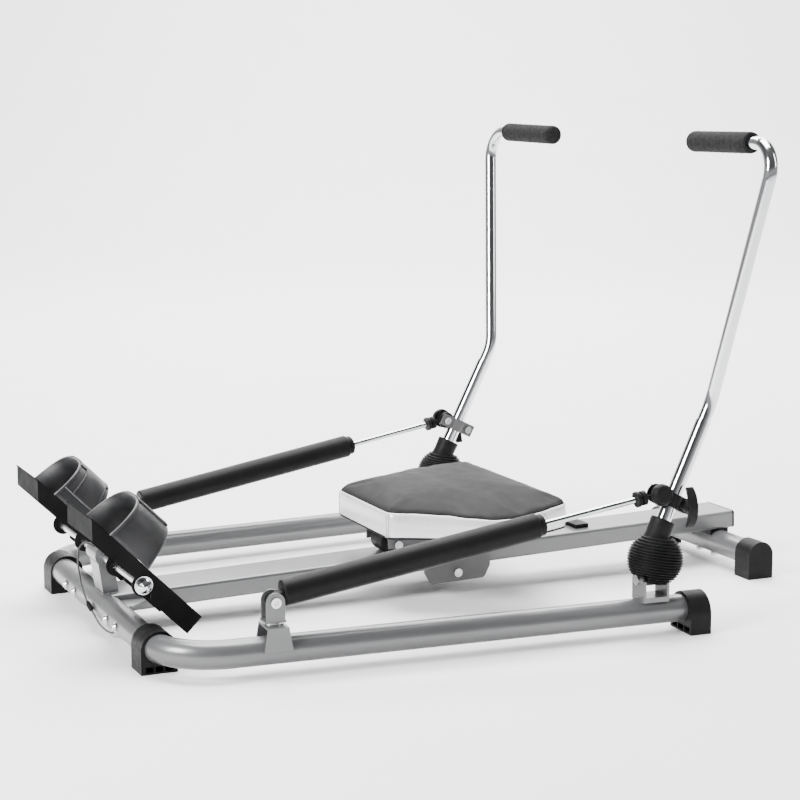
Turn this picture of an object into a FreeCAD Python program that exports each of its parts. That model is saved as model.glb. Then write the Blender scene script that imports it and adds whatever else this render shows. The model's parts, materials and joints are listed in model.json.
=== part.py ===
import FreeCAD, Part
import math
import os
import Sketcher
from FreeCAD import Placement, Rotation, Vector

# Rowing machine with two swinging arms and hydraulic cylinders, in millimetres.
# +X points to the rear along the beam, +Y to the rower's right hand, +Z up.
# The rower faces -X. The origin is on the floor, midway between the foot plates
# and the rear end of the beam.
# The right-hand (+Y) pieces are modelled and the left-hand ones are their mirror images.

doc = FreeCAD.newDocument("RowingMachine")
sheet = doc.addObject("Spreadsheet::Sheet", "Dimensions")

DIMENSIONS = {
    # frame tubes
    "tube_radius": 22.5,
    "tube_bore": 20.5,
    "tube_centre_height": 39.4,
    "bend_radius": 100.0,
    "crossbar_x": -565.0,
    "crossbar_joint": 55.0,
    "rail_y": 394.5,
    "rail_splay": 0.062,
    "rail_end_x": 325.0,
    "spigot_radius": 20.3,
    "spigot_bore": 17.5,
    "spigot_reach": 172.0,
    # beam, which rises to the rear
    "beam_slope_deg": 1.66,
    "beam_top_height": 80.1,
    "beam_width": 90.0,
    "beam_depth": 32.0,
    "beam_wall": 2.0,
    "beam_corner": 5.0,
    "beam_front_x": -562.0,
    "beam_rear_x": 636.0,
    "beam_cap_thickness": 4.0,
    # rear stabilizer
    "stabilizer_x": 611.5,
    "stabilizer_height": 41.0,
    "stabilizer_half": 172.0,
    # feet
    "foot_wall": 4.5,
    "foot_width": 54.0,
    "front_foot_inner": 243.0,
    "front_foot_length": 52.0,
    "rear_foot_width": 70.0,
    "rear_foot_length": 37.0,
    "cap_width": 51.0,
    "cap_length": 46.0,
    # foot post and axle
    "post_thickness": 26.0,
    "post_width": 50.0,
    "axle_x": -567.0,
    "axle_height": 126.0,
    "axle_radius": 8.0,
    "axle_half": 243.0,
    "sleeve_radius": 17.0,
    "sleeve_half": 28.0,
    "running_clearance": 0.05,
    # foot plates, in their own plane
    "plate_tilt_deg": 45.0,
    "plate_inner": 94.0,
    "plate_outer": 238.0,
    "plate_thickness": 2.5,
    "plate_toe": 134.5,
    "plate_heel": 109.0,
    "plate_offset": 23.6,
    "plate_lip": 25.0,
    "plate_lobe": 18.0,
    "strap_height": 72.0,
    "strap_thickness": 3.0,
    "strap_toe": -95.0,
    "strap_width": 84.0,
    # hydraulic cylinders
    "cylinder_pin_x": -403.0,
    "cylinder_pin_y": 366.0,
    "cylinder_pin_height": 114.5,
    "barrel_radius": 21.0,
    "barrel_bore": 17.5,
    "barrel_length": 430.0,
    "rod_radius": 5.5,
    "piston_radius": 17.2,
    # arms
    "arm_tube_radius": 12.5,
    "arm_tube_bore": 11.05,
    "upper_tube_radius": 11.0,
    "upper_tube_bore": 9.4,
    "arm_bend_radius": 90.0,
    "top_bend_radius": 46.0,
    "grip_radius": 17.5,
    "boot_radius": 45.0,
    "boot_neck": 20.0,
    # seat and carriage, measured up from the beam's top face
    "seat_underside": 52.0,
    "seat_board": 9.0,
    "seat_height": 40.0,
    "seat_crown": 19.0,
    "roller_radius": 21.0,
    "roller_half_width": 24.0,
}

for row, (alias, value) in enumerate(DIMENSIONS.items(), start=1):
    sheet.set("A%d" % row, alias)
    sheet.set("B%d" % row, str(value))
    sheet.setAlias("B%d" % row, alias)
doc.recompute()

D = DIMENSIONS
nodes = []


# ---------------------------------------------------------------- helpers

def bind(thing, prop, expression):
    """Bind a property to the sheet. Every name in the expression is an alias."""
    for alias in sorted(DIMENSIONS, key=len, reverse=True):
        expression = expression.replace("<%s>" % alias, "Dimensions.%s" % alias)
    thing.setExpression(prop, expression)


def cylinder(name, radius, height, place):
    """A Part cylinder whose radius and height are sheet expressions."""
    thing = doc.addObject("Part::Cylinder", name)
    bind(thing, "Radius", radius)
    bind(thing, "Height", height)
    thing.Placement = place
    return thing


def fuse(name, things):
    thing = doc.addObject("Part::MultiFuse", name)
    thing.Shapes = things
    return thing


def cut(name, base, tool):
    thing = doc.addObject("Part::Cut", name)
    thing.Base = base
    thing.Tool = tool
    return thing


def feature(name, shape, place=None):
    """A Part::Feature that holds a shape made with Part's own functions."""
    thing = doc.addObject("Part::Feature", name)
    thing.Shape = shape
    if place is not None:
        thing.Placement = place
    return thing


def node(thing, label):
    """Name a finished sub-part; its label is its file name."""
    thing.Label = label
    nodes.append(thing)
    return thing


def pair(thing, label):
    """Name a right-hand sub-part and add its mirror image on the left."""
    node(thing, label + "_right")
    mirror = doc.addObject("Part::Mirroring", label + "_mirror")
    mirror.Source = thing
    mirror.Base = Vector(0, 0, 0)
    mirror.Normal = Vector(0, 1, 0)
    node(mirror, label + "_left")


def both(shape, label):
    """One sub-part made of a right-hand piece and its mirror image on the left."""
    left = shape.mirror(Vector(0, 0, 0), Vector(0, 1, 0))
    node(feature(label.title().replace("_", ""), Part.makeCompound([shape, left])), label)


def facing(point, direction):
    """A placement at a point whose local +Z runs along a direction."""
    return Placement(point, Rotation(Vector(0, 0, 1), direction))


def round_bar(start, end, radius):
    """A plain solid bar between two points."""
    run = end - start
    return Part.makeCylinder(radius, run.Length, start, run)


def bent_path(points, radius):
    """Straight runs joined by tangent arcs of one radius, as a wire."""
    edges = []
    start = points[0]
    for i in range(1, len(points) - 1):
        corner = points[i]
        back = (points[i - 1] - corner).normalize()
        ahead = (points[i + 1] - corner).normalize()
        turn = math.pi - back.getAngle(ahead)
        reach = radius[i - 1] * math.tan(turn / 2)
        arc_start = corner + back * reach
        arc_end = corner + ahead * reach
        middle_way = (back + ahead).normalize()
        middle = corner + middle_way * (radius[i - 1] / math.cos(turn / 2) - radius[i - 1])
        edges.append(Part.LineSegment(start, arc_start).toShape())
        edges.append(Part.Arc(arc_start, middle, arc_end).toShape())
        start = arc_end
    edges.append(Part.LineSegment(start, points[-1]).toShape())
    return Part.Wire(edges)


def sweep_round(path, start, direction, radius):
    """A solid rod of one radius along a path."""
    circle = Part.Wire([Part.makeCircle(radius, start, direction)])
    return path.makePipeShell([circle], True, True)


def bent_tube(points, radius, outer, bore):
    """A bent round tube, open at both ends."""
    path = bent_path(points, radius)
    direction = points[1] - points[0]
    skin = sweep_round(path, points[0], direction, outer)
    hollow = sweep_round(path, points[0], direction, bore)
    return skin.cut(hollow)


def outline_face(points):
    return Part.Face(Part.makePolygon(points + [points[0]]))


def prism(points, run):
    """A solid from a closed outline pushed along a run."""
    return outline_face(points).extrude(run)


def drill(shape, start, end, radius):
    return shape.cut(round_bar(start, end, radius))


def sketch_on(body, role, name):
    """An empty sketch on one of a body's origin planes."""
    plane = [p for p in body.Origin.OriginFeatures if p.Role == role][0]
    sketch = body.newObject("Sketcher::SketchObject", name)
    sketch.AttachmentSupport = [(plane, "")]
    sketch.MapMode = "FlatFace"
    return sketch


def rectangle(sketch, wide, tall, tag):
    """A rectangle centred on the sketch's origin, its two sizes bound to the sheet."""
    w, t = 10.0, 6.0
    first = sketch.GeometryCount
    corners = [Vector(-w, -t, 0), Vector(w, -t, 0), Vector(w, t, 0), Vector(-w, t, 0)]
    for i in range(4):
        sketch.addGeometry(Part.LineSegment(corners[i], corners[(i + 1) % 4]), False)
    for i in range(4):
        sketch.addConstraint(Sketcher.Constraint("Coincident", first + i, 2, first + (i + 1) % 4, 1))
    for i in (0, 2):
        sketch.addConstraint(Sketcher.Constraint("Horizontal", first + i))
    for i in (1, 3):
        sketch.addConstraint(Sketcher.Constraint("Vertical", first + i))
    sketch.addConstraint(Sketcher.Constraint("Symmetric", first, 1, first + 1, 2, -1, 1))
    wide_row = sketch.addConstraint(Sketcher.Constraint("DistanceX", first, 1, first, 2, 2 * w))
    sketch.renameConstraint(wide_row, "wide" + tag)
    tall_row = sketch.addConstraint(Sketcher.Constraint("DistanceY", first + 1, 1, first + 1, 2, 2 * t))
    sketch.renameConstraint(tall_row, "tall" + tag)
    bind(sketch, "Constraints.wide" + tag, wide)
    bind(sketch, "Constraints.tall" + tag, tall)


def circle_on(sketch, radius, tag):
    """A circle at the sketch's origin with its radius bound to the sheet."""
    ring = sketch.addGeometry(Part.Circle(Vector(0, 0, 0), Vector(0, 0, 1), 5.0), False)
    sketch.addConstraint(Sketcher.Constraint("Coincident", ring, 3, -1, 1))
    row = sketch.addConstraint(Sketcher.Constraint("Radius", ring, 5.0))
    sketch.renameConstraint(row, "radius" + tag)
    bind(sketch, "Constraints.radius" + tag, radius)


def pad(body, sketch, length):
    thing = body.newObject("PartDesign::Pad", sketch.Name + "Pad")
    thing.Profile = sketch
    bind(thing, "Length", length)
    sketch.Visibility = False
    return thing


def ring_body(name, outer, bore, length, place):
    """A tube or washer as a padded ring; its axis is local Z."""
    body = doc.addObject("PartDesign::Body", name)
    sketch = sketch_on(body, "XY_Plane", name + "Sketch")
    circle_on(sketch, outer, "Outer")
    circle_on(sketch, bore, "Bore")
    pad(body, sketch, length)
    body.Placement = place
    return body


# ---------------------------------------------------------------- shared places

AXIS_X = Vector(1, 0, 0)
AXIS_Y = Vector(0, 1, 0)
AXIS_Z = Vector(0, 0, 1)
AXLE = Vector(D["axle_x"], 0, D["axle_height"])
BEAM_PLACE = Placement(Vector(0, 0, D["beam_top_height"]), Rotation(AXIS_Y, -D["beam_slope_deg"]))
RAIL_RUN = Vector(1, D["rail_splay"], 0).normalize()
RAIL_SIDE = Vector(-D["rail_splay"], 1, 0).normalize()


def rail_point(x, height=D["tube_centre_height"]):
    """A point over the right rail's centre line."""
    return Vector(x, D["rail_y"] + D["rail_splay"] * x, height)


def beam_height(x):
    """Height of the beam's top face at x."""
    return D["beam_top_height"] + math.tan(math.radians(D["beam_slope_deg"])) * x


CROSSBAR_CORNER = rail_point(D["crossbar_x"])
CROSSBAR_JOINT = Vector(D["crossbar_x"], D["crossbar_joint"], D["tube_centre_height"])
FRAME_PATH = [CROSSBAR_JOINT, CROSSBAR_CORNER, rail_point(D["rail_end_x"])]


# ---------------------------------------------------------------- base frame

CROSSBAR_BOLT_Y = (97.0, 150.0)
BOLT_RADIUS = 4.0


def crossbar_bolt(y):
    """One bolt through the front wall of the crossbar into the spigot."""
    face = D["crossbar_x"] - D["tube_radius"]
    tip = D["crossbar_x"] - D["spigot_bore"] + 6.0
    height = D["tube_centre_height"]
    shank = round_bar(Vector(face, y, height), Vector(tip, y, height), BOLT_RADIUS)
    collar = Part.makeCylinder(8.0, 1.6, Vector(face - 1.7, y, height), AXIS_X)
    head = Part.makeCone(4.2, 6.6, 3.4, Vector(face - 4.8, y, height), AXIS_X)
    return shank.fuse([collar, head]).removeSplitter()


def stabilizer_bolt(y):
    """One bolt up through the stabilizer and its saddle."""
    x, height = D["stabilizer_x"], D["stabilizer_height"]
    under = beam_height(x) - D["beam_depth"]
    shank = round_bar(Vector(x, y, height - 24), Vector(x, y, under - 0.8), BOLT_RADIUS)
    head = Part.makeCylinder(7.5, 4.5, Vector(x, y, height - 28), AXIS_Z)
    return shank.fuse(head).removeSplitter()


def bolt_holes(shape):
    """Drill the bolt holes of one tube's front wall."""
    for y in CROSSBAR_BOLT_Y:
        for side in (-1, 1):
            start = Vector(D["crossbar_x"] - 40, side * y, D["tube_centre_height"])
            end = Vector(D["crossbar_x"], side * y, D["tube_centre_height"])
            shape = drill(shape, start, end, BOLT_RADIUS + 0.1)
    return shape


def lead_hole(shape):
    """The hole under the crossbar, with one in its mirror place, that the sensor lead enters by."""
    for side in (-1, 1):
        start = Vector(D["crossbar_x"] - 0.8, side * 80.4, 5.0)
        shape = drill(shape, start, start + Vector(0, 0, 20.0), 4.5)
    return shape


def side_frame():
    """Half of the crossbar, the front bend and the rail, in one bent tube."""
    tube = bent_tube(FRAME_PATH, [D["bend_radius"]], D["tube_radius"], D["tube_bore"])
    return lead_hole(bolt_holes(tube))


def build_base_frame():
    pair(feature("SideFrame", side_frame()), "side_frame")
    centre = ring_body("CrossbarCentre", "<tube_radius>", "<tube_bore>", "2 * <crossbar_joint>",
                       facing(Vector(D["crossbar_x"], -D["crossbar_joint"], D["tube_centre_height"]), AXIS_Y))
    node(centre, "crossbar_centre")
    spigot = Part.makeCylinder(D["spigot_radius"], 2 * D["spigot_reach"],
                               Vector(D["crossbar_x"], -D["spigot_reach"], D["tube_centre_height"]), AXIS_Y)
    hollow = Part.makeCylinder(D["spigot_bore"], 2 * D["spigot_reach"],
                               Vector(D["crossbar_x"], -D["spigot_reach"], D["tube_centre_height"]), AXIS_Y)
    node(feature("CrossbarSpigot", lead_hole(bolt_holes(spigot.cut(hollow)))), "crossbar_spigot")
    bolts = [crossbar_bolt(side * y) for y in CROSSBAR_BOLT_Y for side in (-1, 1)]
    bolts.extend(stabilizer_bolt(side * 25.0) for side in (-1, 1))
    for bolt in (swivel_bolt(), spread_bolt()):
        bolts.extend([bolt, bolt.mirror(Vector(0, 0, 0), AXIS_Y)])
    node(feature("FrameBolts", Part.makeCompound(bolts)), "frame_bolts")


def rounded_box_body(name, length, width, height, corner, place):
    """A padded block along local X with its four long edges rounded."""
    body = doc.addObject("PartDesign::Body", name)
    sketch = sketch_on(body, "YZ_Plane", name + "Sketch")
    rectangle(sketch, width, height, "Outer")
    block = pad(body, sketch, length)
    doc.recompute()
    long_edges = [i for i, e in enumerate(block.Shape.Edges, start=1)
                  if abs(e.Vertexes[0].X - e.Vertexes[-1].X) > 1.0]
    fillet = body.newObject("PartDesign::Fillet", name + "Fillet")
    fillet.Base = (block, ["Edge%d" % i for i in long_edges])
    bind(fillet, "Radius", corner)
    body.Placement = place
    return body


def build_beam():
    """The long box tube that the seat rolls on, coped round the crossbar."""
    middle = BEAM_PLACE.multiply(Placement(Vector(D["beam_front_x"], 0, -D["beam_depth"] / 2), Rotation()))
    length = "<beam_rear_x> - <beam_front_x>"
    skin = rounded_box_body("BeamSkin", length, "<beam_width>", "<beam_depth>", "<beam_corner>", middle)
    hollow = rounded_box_body("BeamHollow", length, "<beam_width> - 2 * <beam_wall>",
                              "<beam_depth> - 2 * <beam_wall>", "<beam_corner> - <beam_wall>", middle)
    coping = cylinder("BeamCoping", "<tube_radius> + <running_clearance>", "200",
                      facing(Vector(D["crossbar_x"], -100, D["tube_centre_height"]), AXIS_Y))
    tube = cut("BeamTube", skin, hollow)
    coped = cut("BeamCoped", tube, coping)
    corners = feature("Gussets", Part.makeCompound([gusset(-1), gusset(1)]))
    node(fuse("MainBeam", [coped, corners]), "main_beam")
    cap_place = BEAM_PLACE.multiply(Placement(Vector(D["beam_rear_x"], 0, -D["beam_depth"] / 2), Rotation()))
    cap = rounded_box_body("BeamCap", "<beam_cap_thickness>", "<beam_width>", "<beam_depth>",
                           "<beam_corner>", cap_place)
    node(cap, "beam_end_cap")


def gusset(side):
    """A flat triangle in the corner between the crossbar and the beam."""
    height = 50.0
    beam_side = side * (D["beam_width"] / 2 - 1.0)
    wide = side * 88.0
    front = D["crossbar_x"] + 10.0
    points = [Vector(front, beam_side, height), Vector(front, wide, height),
              Vector(front + 14, wide, height), Vector(front + 65, beam_side, height)]
    plate = prism(points, Vector(0, 0, 4.0))
    bar = Part.makeCylinder(D["tube_radius"] + 0.05, 400,
                            Vector(D["crossbar_x"], -200, D["tube_centre_height"]), AXIS_Y)
    return plate.cut(bar)


STOP_X = 327.0
FRONT_STOP_X = -326.0


def build_beam_fittings():
    rear_stop = Part.makeBox(26.0, 44.0, 7.0, Vector(STOP_X - 13, -22, 0.1))
    front_stop = Part.makeCylinder(8.0, 9.0, Vector(FRONT_STOP_X, 0, -D["beam_depth"] - 9.1), AXIS_Z)
    node(feature("SeatStops", Part.makeCompound([rear_stop, front_stop]), BEAM_PLACE), "seat_stops")


# ---------------------------------------------------------------- rear stabilizer

def build_stabilizer():
    """The cross tube under the beam's rear end, its saddle, bolts and end caps."""
    x, height = D["stabilizer_x"], D["stabilizer_height"]
    tube = ring_body("StabilizerTube", "<tube_radius>", "<tube_bore>", "2 * <stabilizer_half>",
                     facing(Vector(x, -D["stabilizer_half"], height), AXIS_Y))
    holes = [Part.makeCylinder(BOLT_RADIUS + 0.1, 80, Vector(x, y, height - 40), AXIS_Z) for y in (-25, 25)]
    drilled = cut("StabilizerDrilled", tube, feature("StabilizerHoles", Part.makeCompound(holes)))
    node(drilled, "rear_stabilizer")
    under = beam_height(x) - D["beam_depth"]
    block = Part.makeBox(38, 80, under - height - 11, Vector(x - 19, -40, height + 14))
    block = block.cut(Part.makeCylinder(D["tube_radius"] + 0.05, 120, Vector(x, -60, height), AXIS_Y))
    above = Part.makeBox(200, 200, 40, Vector(-100, -100, -D["beam_depth"] - 0.1))
    above.Placement = Placement(Vector(x, 0, beam_height(x)), BEAM_PLACE.Rotation)
    block = block.cut(above)
    for y in (-25, 25):
        block = drill(block, Vector(x, y, height), Vector(x, y, height + 60), BOLT_RADIUS + 0.1)
    node(feature("StabilizerSaddle", block), "stabilizer_saddle")


def arch_block(width, length, top):
    """A foot: flat underneath and round on top, its length along local Y."""
    half = width / 2
    left, right = Vector(-half, 0, 0), Vector(half, 0, 0)
    shoulder = top - half
    edges = [
        Part.LineSegment(left, right).toShape(),
        Part.LineSegment(right, Vector(half, 0, shoulder)).toShape(),
        Part.Arc(Vector(half, 0, shoulder), Vector(0, 0, top), Vector(-half, 0, shoulder)).toShape(),
        Part.LineSegment(Vector(-half, 0, shoulder), left).toShape(),
    ]
    return Part.Face(Part.Wire(edges)).extrude(Vector(0, length, 0))


def foot_pockets(shape, width, start, depth, place):
    """Three moulded pockets in the lower part of a foot's end face."""
    pitch = (width - 8.0) / 3
    for i in range(3):
        pocket = Part.makeBox(pitch - 3.0, depth, 9.0, Vector(-width / 2 + 4 + i * pitch + 1.5, start, 3.0))
        pocket.Placement = place
        shape = shape.cut(pocket)
    return shape


def stabilizer_cap():
    x, height = D["stabilizer_x"], D["stabilizer_height"]
    top = height + D["tube_radius"] + D["foot_wall"]
    place = Placement(Vector(x, D["stabilizer_half"] - D["cap_length"] + D["foot_wall"], 0), Rotation())
    block = arch_block(D["cap_width"], D["cap_length"], top)
    block.Placement = place
    tube = Part.makeCylinder(D["tube_radius"] + 0.05, D["stabilizer_half"] + 0.05,
                             Vector(x, 0, height), AXIS_Y)
    bolts_clear = block.cut(tube)
    return foot_pockets(bolts_clear, D["cap_width"], -1.0, 30.0, place)


def front_foot():
    """The collar foot at the front bend."""
    top = D["tube_centre_height"] + D["tube_radius"] + D["foot_wall"]
    place = Placement(Vector(D["crossbar_x"] + 4.0, D["front_foot_inner"], 0), Rotation())
    block = arch_block(D["foot_width"] + 4.0, D["front_foot_length"], top)
    block.Placement = place
    start = FRAME_PATH[0]
    bar = sweep_round(bent_path(FRAME_PATH, [D["bend_radius"]]), start, AXIS_Y, D["tube_radius"] + 0.05)
    turned = Placement(Vector(D["crossbar_x"] + 4.0, D["front_foot_inner"] + D["front_foot_length"], 0),
                       Rotation(AXIS_Z, 180))
    return foot_pockets(block.cut(bar), D["foot_width"], -1.0, 34.0, turned)


def rear_foot():
    """The closed cap foot on the rear end of a rail."""
    top = D["tube_centre_height"] + D["tube_radius"] + D["foot_wall"]
    turn = Rotation(AXIS_Z, math.degrees(math.atan(D["rail_splay"])) - 90)
    start = rail_point(D["rail_end_x"] - D["rear_foot_length"] + D["foot_wall"], 0)
    place = Placement(start, turn)
    block = arch_block(D["rear_foot_width"], D["rear_foot_length"], top)
    block.Placement = place
    bar = round_bar(rail_point(0), rail_point(D["rail_end_x"] + 0.05), D["tube_radius"] + 0.05)
    return foot_pockets(block.cut(bar), D["rear_foot_width"], -1.0, 30.0, place)


def build_feet():
    both(front_foot(), "front_feet")
    both(rear_foot(), "rear_feet")
    both(stabilizer_cap(), "stabilizer_caps")


# ---------------------------------------------------------------- foot plates

POST_BASE = Vector(-556.0, 0, 50.0)


def build_foot_post():
    """The leaning post on the crossbar that carries the foot axle."""
    lean = AXLE - POST_BASE
    tilt = Rotation(AXIS_Z, lean)
    corner = POST_BASE + tilt.multVec(Vector(-D["post_thickness"] / 2, -D["post_width"] / 2, 0))
    block = Part.makeBox(D["post_thickness"], D["post_width"], lean.Length, Vector(0, 0, 0))
    block.Placement = Placement(corner, tilt)
    bar = Part.makeCylinder(D["tube_radius"] + 0.05, 200,
                            Vector(D["crossbar_x"], -100, D["tube_centre_height"]), AXIS_Y)
    half = D["sleeve_half"]
    sleeve = Part.makeCylinder(D["sleeve_radius"], 2 * half, AXLE - Vector(0, half, 0), AXIS_Y)
    under_beam = Part.makeBox(200, 200, 80, Vector(-100, -100, -79.9))
    under_beam.Placement = Placement(Vector(POST_BASE.x, 0, beam_height(POST_BASE.x)), BEAM_PLACE.Rotation)
    front = Part.makeBox(100, 200, 80, Vector(POST_BASE.x - 8 - 100, -100, 0))
    block = block.cut(bar).cut(under_beam.cut(front)).fuse(sleeve).removeSplitter()
    block = drill(block, AXLE - Vector(0, 60, 0), AXLE + Vector(0, 60, 0), D["axle_radius"] + 0.05)
    node(feature("FootPost", block), "foot_post")


def build_foot_axle():
    axle = cylinder("FootAxle", "<axle_radius>", "2 * <axle_half>",
                    facing(AXLE - Vector(0, D["axle_half"], 0), AXIS_Y))
    node(axle, "foot_axle")
    both(dome_nut(), "axle_nuts")


def dome_nut():
    """A flanged dome nut with a blind bore, on the end of the axle."""
    seat = D["plate_outer"] + 0.5
    steps = [(14.5, 14.5, 2.5), (12.0, 12.0, 5.5), (12.0, 10.0, 4.5), (10.0, 6.0, 4.0), (6.0, 2.0, 1.5)]
    rings = []
    level = seat
    for low, high, height in steps:
        place = AXLE + Vector(0, level, 0)
        if low == high:
            rings.append(Part.makeCylinder(low, height, place, AXIS_Y))
        else:
            rings.append(Part.makeCone(low, high, height, place, AXIS_Y))
        level += height
    nut = rings[0].fuse(rings[1:]).removeSplitter()
    return drill(nut, AXLE, AXLE + Vector(0, D["axle_half"] + 0.1, 0), D["axle_radius"] + 0.02)


PLATE_PLACE = Placement(AXLE, Rotation(AXIS_Y, D["plate_tilt_deg"]))


def plate_flange(y):
    """A side wall of a foot plate, with a round lobe about the axle."""
    top = D["plate_offset"]
    lip = D["plate_lip"]
    lobe = D["plate_lobe"]
    rise = Part.Arc(Vector(-lobe, y, 0), Vector(0, y, -lobe), Vector(lobe, y, 0)).toShape()
    heel_low = -11.0
    points = [Vector(lobe, y, 0), Vector(lobe + 8, y, heel_low), Vector(D["plate_heel"], y, heel_low),
              Vector(D["plate_heel"], y, top), Vector(-D["plate_toe"], y, top),
              Vector(-D["plate_toe"] + lip, y, top - lip), Vector(-lobe, y, 0)]
    lines = [Part.LineSegment(points[i], points[i + 1]).toShape() for i in range(len(points) - 1)]
    wall = Part.Face(Part.Wire([rise] + lines)).extrude(Vector(0, D["plate_thickness"], 0))
    return drill(wall, Vector(0, y - 5, 0), Vector(0, y + 9, 0), D["axle_radius"] + D["running_clearance"])


def foot_plate():
    """A channel with a turned-down toe lip that the foot rests on."""
    gauge = D["plate_thickness"]
    inner, outer, top = D["plate_inner"], D["plate_outer"], D["plate_offset"]
    tread = Part.makeBox(D["plate_toe"] + D["plate_heel"], outer - inner, gauge,
                         Vector(-D["plate_toe"], inner, top - gauge))
    lip = D["plate_lip"]
    toe = -D["plate_toe"]
    lip_points = [Vector(toe, inner, top), Vector(toe + lip, inner, top - lip),
                  Vector(toe + lip + gauge, inner, top - lip), Vector(toe + gauge * 1.5, inner, top)]
    lip_wall = prism(lip_points, Vector(0, outer - inner, 0))
    walls = [plate_flange(inner), plate_flange(outer - gauge), lip_wall]
    return tread.fuse(walls).removeSplitter()


def foot_strap():
    """A wide band that arches over the foot from one side of the plate to the other."""
    half = (D["plate_outer"] - D["plate_inner"]) / 2
    middle = (D["plate_outer"] + D["plate_inner"]) / 2
    base = D["plate_offset"] + 0.3

    def arch(inset):
        reach = half - inset
        top = base + D["strap_height"] - inset
        low = Vector(0, middle - reach, base)
        lift = Vector(0, middle - reach * 0.96, base + (top - base) * 0.45)
        crown = Vector(0, middle, top)
        lift_far = Vector(0, middle + reach * 0.96, lift.z)
        far = Vector(0, middle + reach, base)
        sides = [Part.LineSegment(low, lift).toShape(), Part.Arc(lift, crown, lift_far).toShape(),
                 Part.LineSegment(lift_far, far).toShape(), Part.LineSegment(far, low).toShape()]
        return Part.Face(Part.Wire(sides)).extrude(Vector(D["strap_width"], 0, 0))

    band = arch(0.0).cut(arch(D["strap_thickness"]))
    band.translate(Vector(D["strap_toe"], 0, 0))
    return band


def build_foot_plates():
    pair(feature("FootPlate", foot_plate(), PLATE_PLACE), "foot_plate")
    strap = foot_strap()
    pair(feature("FootStrap", strap, PLATE_PLACE), "foot_strap")


# ---------------------------------------------------------------- sensor lead

LEAD_RADIUS = 1.5
LEAD_ROUTE = [(-579.2, -5.0, 138.2), (-590.0, -4.0, 148.5), (-603.0, 2.0, 140.0), (-603.0, 13.0, 113.0),
              (-596.0, 26.0, 82.0), (-593.0, 20.0, 58.0), (-592.0, -2.0, 46.0)]
LEAD_TAIL = [(-591.5, -28.0, 37.0), (-590.0, -44.0, 29.4), (-586.0, -58.0, 18.5), (-578.0, -70.0, 11.0),
             (-568.0, -78.0, 8.0), (-565.0, -82.0, 24.0)]


def lead_run(points):
    """A thin lead through the points, with generous tangent bends."""
    route = [Vector(*p) for p in points]
    radii = []
    for i in range(1, len(route) - 1):
        back, ahead = route[i - 1] - route[i], route[i + 1] - route[i]
        turn = math.pi - back.getAngle(ahead)
        shorter = min(back.Length, ahead.Length)
        radii.append(0.45 * shorter / math.tan(turn / 2))
    path = bent_path(route, radii)
    return sweep_round(path, route[0], route[1] - route[0], LEAD_RADIUS)


def build_lead():
    node(feature("SensorLead", Part.makeCompound([lead_run(LEAD_ROUTE), lead_run(LEAD_TAIL)])), "sensor_lead")
    start, end = Vector(*LEAD_ROUTE[-1]), Vector(*LEAD_TAIL[0])
    run = (end - start).normalize()
    node(feature("LeadConnector", round_bar(start + run * 0.8, end - run * 0.8, 4.0)), "lead_connector")


# ---------------------------------------------------------------- hydraulic cylinders

PIN = Vector(D["cylinder_pin_x"], D["cylinder_pin_y"], D["cylinder_pin_height"])
SPREAD_PIVOT = rail_point(236.0, 93.0)
SWING_PIVOT = Vector(229.1, 405.0, 120.0)
ARM_BEND = Vector(351.3, 396.3, 373.4)
ARM_RUN = (ARM_BEND - SWING_PIVOT).normalize()
SWING_AXIS = ARM_RUN.cross(RAIL_RUN).normalize()
ACROSS = SWING_AXIS.cross(ARM_RUN).normalize()
CLAMP = SWING_PIVOT + ARM_RUN * ((218.0 - SWING_PIVOT.z) / ARM_RUN.z)
FRONT_BOLT = CLAMP - ACROSS * 28.0
REAR_BOLT = CLAMP + ACROSS * 24.0
EYE = FRONT_BOLT + SWING_AXIS * 2.0
AXIS_LIFT = 8.0
BARREL_FOOT = PIN + Vector(0, 0, AXIS_LIFT)
CYLINDER_RUN = (EYE - BARREL_FOOT).normalize()
CYLINDER_SIDE = Vector(0, 0, 1).cross(CYLINDER_RUN).normalize()
ROD_TOTAL = (EYE - BARREL_FOOT).Length
BARREL_START = 15.0


def along(distance):
    """A point on the cylinder's axis, measured from over the clevis pin."""
    return BARREL_FOOT + CYLINDER_RUN * distance


def cylinder_bracket():
    """The inverted U that straddles the rail and carries the clevis."""
    foot, head, gauge = 23.0, 16.5, 3.0
    half = D["tube_radius"] + gauge
    low, high = 42.0, 79.0
    x = D["cylinder_pin_x"]
    origin = rail_point(x, 0)
    place = Placement(origin, Rotation(AXIS_Z, math.degrees(math.atan(D["rail_splay"]))))
    points = [Vector(-foot, -half, low), Vector(foot, -half, low), Vector(head, -half, high),
              Vector(-head, -half, high)]
    block = prism(points, Vector(0, 2 * half, 0))
    inside = Part.makeBox(2 * foot + 2, 2 * (half - gauge), high - gauge - low + 2,
                          Vector(-foot - 1, -half + gauge, low - 2))
    shell = block.cut(inside)
    shell.Placement = place
    shell = shell.cut(round_bar(rail_point(x - 60), rail_point(x + 60), D["tube_radius"] + 0.05))
    return drill(shell, Vector(PIN.x, PIN.y, 60), Vector(PIN.x, PIN.y, 90), 6.1)


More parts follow.
